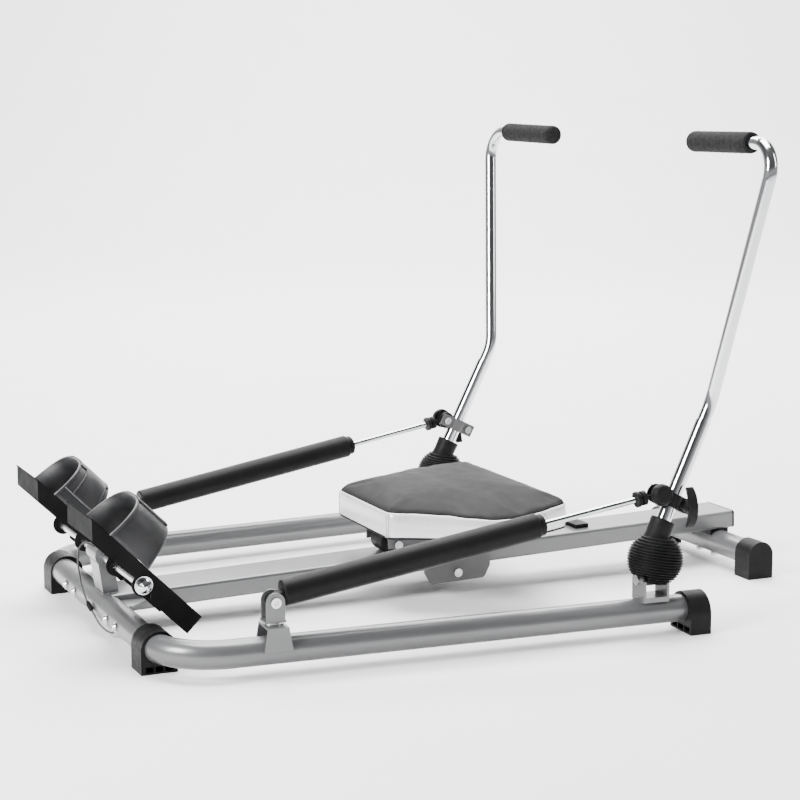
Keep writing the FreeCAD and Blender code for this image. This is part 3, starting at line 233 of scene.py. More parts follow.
def grey_paint():
    kit = start_material("grey_paint", (0.11, 0.11, 0.112), 0.3, 0.42)
    mottle(kit, (0.10, 0.10, 0.102), (0.12, 0.12, 0.122), 10.0)
    vary_roughness(kit, 0.38, 0.46, 50.0)
    bump(kit, noise(kit, 1200.0, 2.0), 0.06, 0.0003)
    return kit["material"]


def dark_steel():
    kit = start_material("dark_steel", (0.08, 0.08, 0.082), 0.9, 0.45)
    mottle(kit, (0.06, 0.06, 0.061), (0.11, 0.11, 0.112), 30.0)
    vary_roughness(kit, 0.35, 0.6, 70.0)
    bump(kit, noise(kit, 500.0), 0.12, 0.0004)
    return kit["material"]


def bright_steel():
    kit = start_material("bright_steel", (0.62, 0.62, 0.63), 1.0, 0.22)
    mottle(kit, (0.56, 0.56, 0.57), (0.68, 0.68, 0.69), 60.0)
    vary_roughness(kit, 0.16, 0.30, 160.0)
    bump(kit, noise(kit, 1400.0), 0.06, 0.0003)
    return kit["material"]


def chrome():
    kit = start_material("chrome", (0.66, 0.67, 0.69), 1.0, 0.11)
    mottle(kit, (0.63, 0.64, 0.66), (0.69, 0.70, 0.72), 14.0)
    vary_roughness(kit, 0.08, 0.14, 25.0)
    bump(kit, noise(kit, 120.0, 2.0), 0.012, 0.0006)
    return kit["material"]


def black_gloss():
    kit = start_material("black_gloss", (0.006, 0.006, 0.0062), 0.0, 0.46)
    mottle(kit, (0.0055, 0.0055, 0.0057), (0.0072, 0.0072, 0.0074), 18.0)
    vary_roughness(kit, 0.43, 0.49, 60.0)
    bump(kit, noise(kit, 2200.0, 2.0), 0.04, 0.0001)
    constant(kit, "Specular IOR Level", 0.10)
    return kit["material"]


def black_plastic():
    kit = start_material("black_plastic", (0.007, 0.007, 0.0072), 0.0, 0.45)
    mottle(kit, (0.0055, 0.0055, 0.0057), (0.009, 0.009, 0.0093), 25.0)
    vary_roughness(kit, 0.38, 0.52, 90.0)
    bump(kit, cells(kit, 1500.0), 0.14, 0.0003)
    constant(kit, "Specular IOR Level", 0.09)
    return kit["material"]


def black_rubber():
    kit = start_material("black_rubber", (0.008, 0.008, 0.0083), 0.0, 0.50)
    mottle(kit, (0.006, 0.006, 0.0062), (0.012, 0.012, 0.0123), 40.0)
    vary_roughness(kit, 0.42, 0.62, 70.0)
    bump(kit, noise(kit, 900.0), 0.16, 0.0004)
    constant(kit, "Specular IOR Level", 0.10)
    return kit["material"]


def foam():
    kit = start_material("foam", (0.010, 0.010, 0.010), 0.0, 0.85)
    mottle(kit, (0.006, 0.006, 0.006), (0.017, 0.017, 0.017), 220.0)
    vary_roughness(kit, 0.75, 0.95, 150.0)
    bump(kit, cells(kit, 900.0), 0.5, 0.0007)
    bump(kit, noise(kit, 260.0), 0.3, 0.0008)
    constant(kit, "Specular IOR Level", 0.15)
    return kit["material"]


def lead_vinyl():
    kit = start_material("lead_vinyl", (0.03, 0.03, 0.031), 0.0, 0.40)
    mottle(kit, (0.022, 0.022, 0.023), (0.042, 0.042, 0.044), 60.0)
    vary_roughness(kit, 0.34, 0.48, 200.0)
    bump(kit, noise(kit, 1500.0), 0.1, 0.0002)
    return kit["material"]


def leather_grain(kit, size, strength):
    """Fine pebbled grain with soft creases between the pebbles."""
    bump(kit, cells(kit, size), strength, 0.0005)
    bump(kit, cells(kit, size * 2.3), strength * 0.6, 0.0003)
    bump(kit, noise(kit, 45.0, 2.0), strength * 0.4, 0.0012)


def strap_vinyl():
    kit = start_material("strap_vinyl", (0.018, 0.018, 0.019), 0.0, 0.42)
    mottle(kit, (0.014, 0.014, 0.015), (0.024, 0.024, 0.026), 30.0)
    vary_roughness(kit, 0.36, 0.50, 60.0)
    leather_grain(kit, 800.0, 0.16)
    constant(kit, "Sheen Weight", 0.2)
    constant(kit, "Sheen Roughness", 0.4)
    constant(kit, "Specular IOR Level", 0.30)
    return kit["material"]


def charcoal_vinyl():
    kit = start_material("charcoal_vinyl", (0.022, 0.0214, 0.022), 0.0, 0.55)
    mottle(kit, (0.020, 0.0194, 0.020), (0.024, 0.0234, 0.024), 14.0)
    vary_roughness(kit, 0.52, 0.60, 45.0)
    leather_grain(kit, 700.0, 0.14)
    constant(kit, "Specular IOR Level", 0.06)
    return kit["material"]


def silver_vinyl():
    kit = start_material("silver_vinyl", (0.80, 0.80, 0.805), 0.35, 0.30)
    mottle(kit, (0.78, 0.78, 0.785), (0.83, 0.83, 0.835), 8.0)
    vary_roughness(kit, 0.26, 0.34, 40.0)
    leather_grain(kit, 750.0, 0.10)
    return kit["material"]


def plate_paint():
    kit = start_material("plate_paint", (0.008, 0.008, 0.0083), 0.0, 0.55)
    mottle(kit, (0.0065, 0.0065, 0.0067), (0.010, 0.010, 0.0103), 20.0)
    vary_roughness(kit, 0.50, 0.60, 50.0)
    bump(kit, noise(kit, 900.0, 3.0), 0.08, 0.0002)
    constant(kit, "Specular IOR Level", 0.02)
    return kit["material"]


MATERIALS = {
    "silver_paint": silver_paint(),
    "grey_paint": grey_paint(),
    "dark_steel": dark_steel(),
    "bright_steel": bright_steel(),
    "chrome": chrome(),
    "black_gloss": black_gloss(),
    "black_plastic": black_plastic(),
    "black_rubber": black_rubber(),
    "foam": foam(),
    "lead_vinyl": lead_vinyl(),
    "strap_vinyl": strap_vinyl(),
    "charcoal_vinyl": charcoal_vinyl(),
    "silver_vinyl": silver_vinyl(),
    "plate_paint": plate_paint(),
}


# The clamp's middle plane on the right-hand side: its normal and its distance from the origin.
CLAMP_NORMAL = (-0.06175, 0.99604, 0.06398)
CLAMP_MIDDLE = 0.3969
PLATE_BLACK = (0.008, 0.008, 0.0082, 1)
PLATE_METALLIC = 0.3


def clamp_finish():
    """Grey paint on the clamp's inner plate and black on its outer one."""
    material = grey_paint()
    material.name = "clamp_finish"
    tree = material.node_tree
    shader = tree.nodes["Principled BSDF"]
    coords = tree.nodes["Texture Coordinate"].outputs["Object"]
    folded = tree.nodes.new("ShaderNodeVectorMath")
    folded.operation = "ABSOLUTE"
    tree.links.new(coords, folded.inputs[0])
    across = tree.nodes.new("ShaderNodeVectorMath")
    across.operation = "DOT_PRODUCT"
    across.inputs[1].default_value = CLAMP_NORMAL
    tree.links.new(folded.outputs["Vector"], across.inputs[0])
    outer = tree.nodes.new("ShaderNodeMath")
    outer.operation = "GREATER_THAN"
    outer.inputs[1].default_value = CLAMP_MIDDLE
    tree.links.new(across.outputs["Value"], outer.inputs[0])
    blend = tree.nodes.new("ShaderNodeMix")
    blend.data_type = "RGBA"
    tree.links.new(outer.outputs["Value"], blend.inputs["Factor"])
    tree.links.new(shader.inputs["Base Color"].links[0].from_socket, blend.inputs[6])
    blend.inputs[7].default_value = PLATE_BLACK
    tree.links.new(blend.outputs[2], shader.inputs["Base Color"])
    shader.inputs["Specular IOR Level"].default_value = 0.2
    bare = tree.nodes.new("ShaderNodeMath")
    bare.operation = "MULTIPLY_ADD"
    bare.inputs[1].default_value = -PLATE_METALLIC
    bare.inputs[2].default_value = PLATE_METALLIC
    tree.links.new(outer.outputs["Value"], bare.inputs[0])
    tree.links.new(bare.outputs["Value"], shader.inputs["Metallic"])
    return material


def dress_cad_nodes():
    """Gives each CAD node its slot's material."""
    slots = {row["node"]: row["material_slot"] for row in frame["record"]["subparts"]}
    for name, node in frame["nodes"].items():
        for holder in node.material_slots:
            holder.material = MATERIALS[slots[name]]
    two_tone = clamp_finish()
    for side_name, _ in SIDES:
        for holder in frame["nodes"]["clamp_plates_" + side_name].material_slots:
            holder.material = two_tone


SHARP_EDGE = 40  # degrees


def soften(names, width, segments=2):
    """Rounds the sharp edges of CAD nodes so that they catch the light."""
    for name in names:
        node = frame["nodes"][name]
        edge = node.modifiers.new("edge", "BEVEL")
        edge.width = width
        edge.segments = segments
        edge.limit_method = "ANGLE"
        edge.angle_limit = math.radians(SHARP_EDGE)


# ---------------------------------------------------------------- mesh helpers

def shade_smooth(mesh):
    mesh.polygons.foreach_set("use_smooth", [True] * len(mesh.polygons))


def add_piece(name, verts, faces, slot, body=None):
    """A mesh object with its slot's material; it rides on a body if one is named."""
    mesh = bpy.data.meshes.new(name)
    mesh.from_pydata([tuple(v) for v in verts], [], faces)
    mesh.validate()
    work = bmesh.new()
    work.from_mesh(mesh)
    bmesh.ops.recalc_face_normals(work, faces=work.faces)
    work.to_mesh(mesh)
    work.free()
    shade_smooth(mesh)
    mesh.materials.append(MATERIALS[slot])
    piece = new_object(name, mesh)
    if body is not None:
        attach(piece, body)
    return piece


def ring_faces(rings, size, closed=False, capped=False):
    """Faces that join rings of the same size, each to the next."""
    faces = []
    for i in range(rings if closed else rings - 1):
        n = (i + 1) % rings
        for j in range(size):
            k = (j + 1) % size
            faces.append((i * size + j, i * size + k, n * size + k, n * size + j))
    if capped:
        faces.append(tuple(range(size)))
        faces.append(tuple(range((rings - 1) * size, rings * size)))
    return faces


def basis(axis):
    """Two unit vectors square to an axis."""
    side = axis.cross(Vector((0, 0, 1)))
    if side.length < 1e-4:
        side = axis.cross(Vector((1, 0, 0)))
    side.normalize()
    return side, axis.cross(side).normalized()


def lathe(profile, origin, axis, segments):
    """Verts and faces of a (distance, radius) profile turned about an axis."""
    axis = axis.normalized()
    side, up = basis(axis)
    verts = []
    for distance, radius in profile:
        for j in range(segments):
            angle = 2 * math.pi * j / segments
            out = side * math.cos(angle) + up * math.sin(angle)
            verts.append(origin + axis * distance + out * max(radius, 1e-5))
    return verts, ring_faces(len(profile), segments)


def flip_side(verts, side):
    """Mirrors points to the left-hand side where side is -1."""
    return [Vector((v[0], v[1] * side, v[2])) for v in verts]


RIPPLE_TURN = 1.9  # radians from one point of a rippled tube to the next


def tube(points, radius, segments, closed=False, ripple=0.0):
    """Verts and faces of a round tube through points; ripple is how much its radius comes and goes."""
    count = len(points)
    verts = []
    for i, point in enumerate(points):
        if closed:
            way = points[(i + 1) % count] - points[i - 1]
        else:
            way = points[min(i + 1, count - 1)] - points[max(i - 1, 0)]
        side, up = basis(way.normalized())
        reach = radius * (1 + ripple * math.sin(i * RIPPLE_TURN))
        for j in range(segments):
            angle = 2 * math.pi * j / segments
            verts.append(point + side * (reach * math.cos(angle)) + up * (reach * math.sin(angle)))
    return verts, ring_faces(count, segments, closed, capped=not closed)


def smooth_line(points, steps):
    """Catmull-Rom points through a list of points, ends included."""
    padded = [points[0] * 2 - points[1]] + points + [points[-1] * 2 - points[-2]]
    line = []
    for i in range(1, len(padded) - 2):
        a, b, c, d = padded[i - 1], padded[i], padded[i + 1], padded[i + 2]
        for s in range(steps):
            t = s / steps
            line.append(0.5 * ((2 * b) + (c - a) * t + (2 * a - 5 * b + 4 * c - d) * t * t
                               + (3 * b - 3 * c + d - a) * t * t * t))
    line.append(points[-1].copy())
    return line


# ---------------------------------------------------------------- sensor lead

LEAD_DIAMETER = 0.003
LEAD_ROUTE = [(-0.5792, -0.005, 0.1382), (-0.590, -0.004, 0.1485), (-0.603, 0.002, 0.140),
              (-0.603, 0.013, 0.113), (-0.596, 0.026, 0.082), (-0.593, 0.020, 0.058), (-0.592, -0.002, 0.046)]
LEAD_TAIL = [(-0.5915, -0.028, 0.037), (-0.590, -0.044, 0.0294), (-0.586, -0.058, 0.0185),
             (-0.578, -0.070, 0.011), (-0.568, -0.078, 0.008), (-0.565, -0.082, 0.024)]


def nurbs_curve(name, route):
    """A bare NURBS curve along a route."""
    curve = bpy.data.curves.new(name, "CURVE")
    curve.dimensions = "3D"
    curve.resolution_u = 24
    spline = curve.splines.new("NURBS")
    spline.points.add(len(route) - 1)
    for point, place in zip(spline.points, route):
        point.co = (*place, 1.0)
    spline.order_u = 3
    spline.use_endpoint_u = True
    return curve


def nurbs_lead(name, route):
    """A round lead along a route, fixed to the frame."""
    curve = nurbs_curve(name, route)
    curve.bevel_depth = LEAD_DIAMETER / 2
    curve.bevel_resolution = 6
    curve.use_fill_caps = True
    curve.materials.append(MATERIALS["lead_vinyl"])
    lead = new_object(name, curve)
    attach(lead, "base")
    return lead


def spline_length(name, route):
    """Length of the bare spline, without its bevel."""
    probe = bpy.data.objects.new(name, nurbs_curve(name, route))
    mesh = bpy.data.meshes.new_from_object(probe)
    places = [v.co for v in mesh.vertices]
    length = sum((places[e.vertices[0]] - places[e.vertices[1]]).length for e in mesh.edges)
    bpy.data.objects.remove(probe)
    bpy.data.meshes.remove(mesh)
    return length


def add_lead():
    connector = lead_connector()
    upper = nurbs_lead("sensor_lead_upper", LEAD_ROUTE)
    lower = nurbs_lead("sensor_lead_lower", LEAD_TAIL)
    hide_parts("sensor_lead")
    spline_length("probe_upper", LEAD_ROUTE)
    spline_length("probe_lower", LEAD_TAIL)


def lead_connector():
    """The moulded two-part connector, with a waist and strain relief at each end."""
    start, end = Vector(LEAD_ROUTE[-1]), Vector(LEAD_TAIL[0])
    run = end - start
    shares = [(0.0, 0.0016), (0.0, 0.0022), (0.12, 0.0026), (0.14, 0.0036), (0.46, 0.0040), (0.48, 0.0034),
              (0.52, 0.0034), (0.54, 0.0040), (0.84, 0.0038), (0.86, 0.0026), (1.0, 0.0022), (1.0, 0.0016)]
    profile = [(run.length * share, radius) for share, radius in shares]
    verts, faces = lathe(profile, start, run, 24)
    piece = add_piece("lead_connector_body", verts, faces, "black_plastic", "base")
    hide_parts("lead_connector")
    return piece


# ---------------------------------------------------------------- pivot boots

SWING_PIVOT = Vector((0.2291, 0.405, 0.120))
ARM_BEND = Vector((0.3513, 0.3963, 0.3734))
ARM_RUN = (ARM_BEND - SWING_PIVOT).normalized()
BOOT_CENTRE = Vector((0.245, 0.406, 0.124))
BOOT_RADIUS = 0.045
BOOT_TILT = Vector((0.16, -0.02, 1.0)).normalized()
RIB_OUT = 0.0012
RIB_DEPTH = 0.0042
BOOT_SEGMENTS = 120
# the arm bracket's uprights and bolt ends, with a little room, measured from the bolt's middle
BRACKET_BOLT = Vector((0.236, 0.4091, 0.093))
UPRIGHT_X = 0.021
UPRIGHT_HALF_THICK = 0.0032
UPRIGHT_HALF_WIDE = 0.0222
UPRIGHT_TOP = 0.0145
BOLT_END_X = 0.018
BOLT_END_RADIUS = 0.0098
SLEEVE_SEGMENTS = 72
COLLAR = [(0.036, 0.0215), (0.0395, 0.0218), (0.0420, 0.0206), (0.052, 0.0200), (0.064, 0.0203),
          (0.0715, 0.0208), (0.0735, 0.0206), (0.0745, 0.0196), (0.0748, 0.0150), (0.0740, 0.0130),
          (0.060, 0.0130)]


def boot_profile():
    """A ball of stacked ribs that ends in a narrower foot."""
    ribs = 17
    steps = 8
    low, high = -0.0395, 0.0375
    profile = [(low, 0.012)]
    for i in range(ribs * steps + 1):
        z = low + (high - low) * i / (ribs * steps)
        wave = 0.5 + 0.5 * math.cos(2 * math.pi * i / steps)
        ball = math.sqrt(max(BOOT_RADIUS ** 2 - z * z, 0.0))
        profile.append((z, ball + RIB_OUT - RIB_DEPTH * wave ** 0.8))
    return profile


def boot_slot(point):
    """True where the bracket's uprights and bolt ends stand."""
    local = point - BRACKET_BOLT
    off_upright = min(abs(local.x + UPRIGHT_X), abs(local.x - UPRIGHT_X))
    upright = off_upright < UPRIGHT_HALF_THICK and abs(local.y) < UPRIGHT_HALF_WIDE
    bolt = math.hypot(local.y, local.z) < BOLT_END_RADIUS and abs(local.x) > BOLT_END_X
    return (upright and local.z < UPRIGHT_TOP) or bolt


def add_boot(side_name, side):
    """A ribbed ball between bracket and arm, and the collar where the arm leaves it."""
    verts, faces = lathe(boot_profile(), BOOT_CENTRE, BOOT_TILT, BOOT_SEGMENTS)
    keep = [face for face in faces if not boot_slot(sum((verts[i] for i in face), Vector()) / len(face))]
    ball = add_piece("boot_ball_" + side_name, flip_side(verts, side), keep, "black_rubber")
    verts, faces = lathe(COLLAR, SWING_PIVOT, ARM_RUN, SLEEVE_SEGMENTS)
    add_piece("boot_collar_" + side_name, flip_side(verts, side), faces, "black_rubber", "arm_" + side_name)
    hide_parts("pivot_boot_" + side_name)
    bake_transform(ball)


# ---------------------------------------------------------------- hand grips

GRIP_INNER = Vector((0.405, 0.243, 0.792))
GRIP_WAY = (Vector((0.3978, 0.4977, 0.795)) - GRIP_INNER).normalized()
GRIP_OUTER = GRIP_INNER + GRIP_WAY * 0.180
GRIP_RADIUS = 0.0174
GRIP_UNEVEN = 0.00025
LIP = 0.0105
OPEN_END = [(0.0, 0.0), (0.0, 0.0125), (0.0012, 0.0150), (0.0035, 0.0168), (0.0065, 0.0175),
            (0.0085, 0.0166), (LIP, 0.0176)]
CLOSED_END = [(LIP, 0.0175), (0.0085, 0.0166), (0.0065, 0.0176), (0.0025, 0.0170), (0.0005, 0.0155),
              (0.0, 0.0113), (0.01, 0.0112)]  # measured back from the far end


def add_grip(side_name, side):
    """A foam sleeve with a rolled lip at the open end and rings at the closed end."""
    length = (GRIP_OUTER - GRIP_INNER).length
    profile = list(OPEN_END)
    for i in range(1, 30):
        where = LIP + (length - 2 * LIP) * i / 30
        profile.append((where, GRIP_RADIUS + GRIP_UNEVEN * math.sin(i * 1.7)))
    profile += [(length - back, radius) for back, radius in CLOSED_END]
    verts, faces = lathe(profile, GRIP_INNER, GRIP_OUTER - GRIP_INNER, SLEEVE_SEGMENTS)
    grip = add_piece("foam_grip_" + side_name, flip_side(verts, side), faces, "foam", "arm_" + side_name)
    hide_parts("hand_grip_" + side_name)


# ---------------------------------------------------------------- foot straps

AXLE = Vector((-0.567, 0.0, 0.126))
PLATE_DIRECTION = Vector((math.sqrt(0.5), 0.0, -math.sqrt(0.5)))
PLATE_NORMAL = Vector((math.sqrt(0.5), 0.0, math.sqrt(0.5)))
STRAP_BASE = 0.0239
STRAP_TOP = 0.0955
STRAP_MIDDLE = -0.053
STRAP_REACH = 0.0720
STRAP_HALF_FOOT = 0.0420
STRAP_HALF_WAIST = 0.0090
SIDE_POWER = 0.62  # below 1 squares the arch's shoulders
TOP_POWER = 0.80
TAPER_POWER = 0.7
PLATE_CENTRE_Y = 0.166
# across the strap as a share of its half width, and depth as a share of its thickness
STRAP_SECTION = [(-1.0, 0.0), (-1.0, 0.7), (-0.985, 1.0), (-0.95, 1.15), (-0.91, 1.15), (-0.885, 0.80),
                 (-0.87, 0.80), (-0.85, 0.95), (0.0, 1.0), (0.85, 0.95), (0.87, 0.80), (0.885, 0.80),
                 (0.91, 1.15), (0.95, 1.15), (0.985, 1.0), (1.0, 0.7), (1.0, 0.0)]
STRAP_STEPS = 64


def on_plate(along, y, height):
    """A point given along a foot plate, across it, and above its axle."""
    return AXLE + PLATE_DIRECTION * along + PLATE_NORMAL * height + Vector((0, y, 0))


def strap_arch(t):
    """How far across and how high the strap's outer face is, for t from 0 to 1 along its arch."""
    angle = math.pi * (1 - t)
    c, s = math.cos(angle), math.sin(angle)
    across = STRAP_REACH * math.copysign(abs(c) ** SIDE_POWER, c)
    height = (STRAP_TOP - STRAP_BASE) * s ** TOP_POWER
    return across, STRAP_BASE + height


def strap_strip(name, side_name, side, span, halves, lift, thickness, centre):
    """A band lofted along the arch: a flat section with rounded hems, tapering to the top.

    span is its start and end along the arch, and halves its half width at the foot and at the top.
    """
    verts = []
    for i in range(STRAP_STEPS + 1):
        t = span[0] + (span[1] - span[0]) * i / STRAP_STEPS
        a0, h0 = strap_arch(max(t - 0.004, 0.0))
        a1, h1 = strap_arch(min(t + 0.004, 1.0))
        across, height = strap_arch(t)
        way = Vector((a1 - a0, h1 - h0)).normalized()
        out = Vector((-way.y, way.x))
        half = halves[0] + (halves[1] - halves[0]) * math.sin(math.pi * t) ** TAPER_POWER
        for v, depth in STRAP_SECTION:
            push = lift + thickness * (depth - 1.0)
            y = PLATE_CENTRE_Y + across + out.x * push
            verts.append(on_plate(centre + v * half, y, height + out.y * push))
    faces = ring_faces(STRAP_STEPS + 1, len(STRAP_SECTION), capped=True)
    verts = flip_side(verts, side)
    return add_piece(name + "_" + side_name, verts, faces, "strap_vinyl", "foot_" + side_name)


def strap_half(t):
    """Half the strap's width at t along its arch."""
    return STRAP_HALF_FOOT - STRAP_HALF_WAIST * math.sin(math.pi * t) ** TAPER_POWER


def strap_cord(name, side_name, side, line, radius):
    """A thin sewn line that lies on a strap."""
    verts, faces = tube(line, radius, 8)
    add_piece(name + "_" + side_name, flip_side(verts, side), faces, "grey_paint", "foot_" + side_name)


def strap_rim(name, side_name, side, edge):
    """A bound hem along one edge of the strap's arch: -1 for the toe's, 1 for the heel's."""
    line = []
    for i in range(49):
        t = i / 48
        across, height = strap_arch(t)
        along = STRAP_MIDDLE + edge * strap_half(t)
        line.append(on_plate(along, PLATE_CENTRE_Y + across * 0.985, height - 0.0012))
    strap_cord(name, side_name, side, line, 0.0015)


def cross_hem(name, side_name, side, t):
    """A sewn line across the strap at t along its arch."""
    half = strap_half(t) * 0.95
    across, height = strap_arch(t)
    line = [on_plate(STRAP_MIDDLE + half * (i / 10 - 1), PLATE_CENTRE_Y + across * 1.04, height + 0.0020)
            for i in range(21)]
    strap_cord(name, side_name, side, line, 0.0010)


def add_strap(side_name, side):
    """The arched band, the flap and overlap that lie on it, and their hems."""
    band = strap_strip("strap_band", side_name, side, (0.0, 1.0), (STRAP_HALF_FOOT, 0.0330),
                       0.0, 0.0028, STRAP_MIDDLE)
    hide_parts("foot_strap_" + side_name)
    strap_strip("strap_flap", side_name, side, (0.06, 0.40), (0.0240, 0.0225),
                0.0028, 0.0022, STRAP_MIDDLE + 0.004)
    strap_strip("strap_overlap", side_name, side, (0.36, 0.60), (STRAP_HALF_FOOT, 0.0322),
                0.0026, 0.0022, STRAP_MIDDLE)
    cross_hem("strap_end_hem", side_name, side, 0.600)
    cross_hem("strap_end_stitch", side_name, side, 0.575)
    cross_hem("strap_flap_hem", side_name, side, 0.060)
    strap_rim("strap_hem_toe", side_name, side, -1.0)
    strap_rim("strap_hem_heel", side_name, side, 1.0)


# ---------------------------------------------------------------- seat

# half widths of the seat, and levels of its top seam, at x
SEAT_OUTLINE = [(-0.099, 0.109), (-0.064, 0.130), (-0.014, 0.165), (0.016, 0.189), (0.056, 0.211),
                (0.096, 0.217), (0.136, 0.210), (0.176, 0.196), (0.206, 0.184)]
SEAM_HEIGHT = [(-0.098, 0.1722), (-0.064, 0.1712), (-0.014, 0.1688), (0.016, 0.1652), (0.056, 0.1618),
               (0.096, 0.1628), (0.136, 0.1655), (0.176, 0.1680), (0.205, 0.1695)]
SEAT_CENTRE = Vector((0.055, 0, 0))
BEAM_RISE = math.tan(math.radians(1.66))
RING_POINTS = 240
BAND_FOOT = 0.1318
BAND_LAP = 0.002
BAND_BULGE = 0.0022
BAND_INSET = 0.0014
BAND_INNER_INSET = 0.0032
PAD_BOTTOM = 0.002
RIM_INSET = 0.0056
RIM_RISE = 0.0112
MIDDLE_LEVEL = 0.1765
CROWN = 0.0185
PUFF_PRESSURE = 4.0
PUFF_CAP = 0.004
PUFF_FRAMES = 20
HELD_LEVEL = 0.0035


def seam_level(x):
    """Height of the seat's top seam over the sloping beam line, at x."""
    if x <= SEAM_HEIGHT[0][0]:
        return SEAM_HEIGHT[0][1]
    for (x0, z0), (x1, z1) in zip(SEAM_HEIGHT, SEAM_HEIGHT[1:]):
        if x <= x1:
            s = (x - x0) / (x1 - x0)
            s = s * s * (3 - 2 * s)
            return z0 + (z1 - z0) * s
    return SEAM_HEIGHT[-1][1]


def resample(ring, count):
    """A closed line with points at equal distances."""
    closed = ring + [ring[0]]
    lengths = [0.0]
    for a, b in zip(closed, closed[1:]):
        lengths.append(lengths[-1] + (b - a).length)
    points = []
    i = 0
    for k in range(count):
        target = lengths[-1] * k / count
        while lengths[i + 1] < target:
            i += 1
        s = (target - lengths[i]) / max(lengths[i + 1] - lengths[i], 1e-9)
        points.append(closed[i].lerp(closed[i + 1], s))
    return points


def seat_outline():
    """The seat's plan outline with rounded corners."""
    side = smooth_line([Vector((x, y, 0)) for x, y in SEAT_OUTLINE], 8)
    left = [Vector((p.x, -p.y, 0)) for p in reversed(side)]
    ring = resample(side + left, RING_POINTS)
    for _ in range(5):
        ring = [(ring[i - 1] + ring[i] * 2 + ring[(i + 1) % len(ring)]) / 4 for i in range(len(ring))]
    return ring


def seat_ring(inset):
    """The seat's outline pulled in by inset, as plan points."""
    shrunk = []
    count = len(SEAT_RING)
    for i, p in enumerate(SEAT_RING):
        way = (SEAT_RING[(i + 1) % count] - SEAT_RING[i - 1]).normalized()
        inward = Vector((-way.y, way.x, 0))
        if inward.dot(SEAT_CENTRE - p) < 0:
            inward = -inward
        shrunk.append(p + inward * inset)
    return shrunk


SEAT_RING = seat_outline()


def lift_to(p, level):
    """A plan point raised to a level over the sloping beam line."""
    return Vector((p.x, p.y, level + BEAM_RISE * p.x))


def seat_pad_mesh():
    """Verts and faces of the closed pad: sides, crowned top and flat bottom."""
    rings = []
    for inset, height in ((0.0055, PAD_BOTTOM), (0.0048, 0.013), (0.0045, 0.024)):
        rings.append([lift_to(p, BAND_FOOT + height) for p in seat_ring(inset)])
    edge = [(0.0030, -0.0010), (0.0008, 0.0016), (0.0004, 0.0045), (0.0020, 0.0080), (RIM_INSET, RIM_RISE)]
    for inset, rise in edge:
        rings.append([lift_to(p, seam_level(p.x) + rise) for p in seat_ring(inset)])
    rim = seat_ring(RIM_INSET)
    rows = 16
    for k in range(1, rows):
        s = k / rows
        crown = CROWN * (1 - (1 - s) ** 2.6)
        ring = []
        for p in rim:
            q = p + (SEAT_CENTRE - p) * s
            level = (seam_level(p.x) + RIM_RISE) * (1 - s) + MIDDLE_LEVEL * s
            ring.append(lift_to(q, level + crown))
        rings.append(ring)
    count = len(rings[0])
    verts = [v for ring in rings for v in ring]
    faces = ring_faces(len(rings), count)
    top = len(verts)
    verts.append(lift_to(SEAT_CENTRE, MIDDLE_LEVEL + CROWN))
    bottom = len(verts)
    verts.append(lift_to(SEAT_CENTRE, BAND_FOOT + PAD_BOTTOM))
    base = (len(rings) - 1) * count
    for j in range(count):
        k = (j + 1) % count
        faces.append((base + j, base + k, top))
        faces.append((j, k, bottom))
    return verts, faces


def evaluated_mesh(thing):
    """A new mesh of an object with its modifiers applied."""
    graph = bpy.context.evaluated_depsgraph_get()
    return bpy.data.meshes.new_from_object(thing.evaluated_get(graph))


def puff(pad):
    """Swells a closed pad with cloth pressure, holding its lower part, and keeps each move under a cap."""
    mesh = pad.data
    before = [v.co.copy() for v in mesh.vertices]
    held = pad.vertex_groups.new(name="held")
    for v in mesh.vertices:
        level = v.co.z - BEAM_RISE * v.co.x
        weight = 1.0 if level < seam_level(v.co.x) + HELD_LEVEL else 0.0
        held.add([v.index], weight, "REPLACE")
    cloth = pad.modifiers.new("cloth", "CLOTH")
    cloth.settings.use_pressure = True
    cloth.settings.uniform_pressure_force = PUFF_PRESSURE
    cloth.settings.effector_weights.gravity = 0.0
    cloth.settings.quality = 6
    cloth.settings.mass = 0.4
    cloth.settings.tension_stiffness = 18
    cloth.settings.compression_stiffness = 12
    cloth.settings.bending_stiffness = 1.2
    cloth.settings.vertex_group_mass = "held"
    cloth.point_cache.frame_start = 1
    cloth.point_cache.frame_end = PUFF_FRAMES
    scene = bpy.context.scene
    for step in range(1, PUFF_FRAMES + 1):
        scene.frame_set(step)
    result = evaluated_mesh(pad)
    after = [v.co.copy() for v in result.vertices]
    bpy.data.meshes.remove(result)
    pad.modifiers.remove(cloth)
    pad.vertex_groups.remove(held)
    for v, old, new in zip(mesh.vertices, before, after):
        move = new - old
        if move.length > PUFF_CAP:
            move *= PUFF_CAP / move.length
        v.co = old + move
    scene.frame_set(1)


def add_seat_pad():
    """The puffed cushion."""
    verts, faces = seat_pad_mesh()
    pad = add_piece("seat_cushion", verts, faces, "charcoal_vinyl")
    remesh = pad.modifiers.new("remesh", "REMESH")
    remesh.mode = "VOXEL"
    remesh.voxel_size = 0.005
    dense = evaluated_mesh(pad)
    pad.modifiers.remove(remesh)
    pad.data = dense
    puff(pad)
    relax = pad.modifiers.new("relax", "SMOOTH")
    relax.factor = 0.5
    relax.iterations = 4
    smooth = pad.modifiers.new("smooth", "SUBSURF")
    smooth.levels = 1
    smooth.render_levels = 1
    final = evaluated_mesh(pad)
    pad.modifiers.clear()
    pad.data = final
    shade_smooth(final)
    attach(pad, "seat")
    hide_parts("seat_pad")


def band_ring(inset, s, lap):
    """One ring of the seat's band, s of the way up from its foot to a lap over the seam."""
    foot = BAND_FOOT - BAND_LAP
    return [lift_to(p, foot + (seam_level(p.x) - BAND_FOOT + lap) * s) for p in seat_ring(inset)]


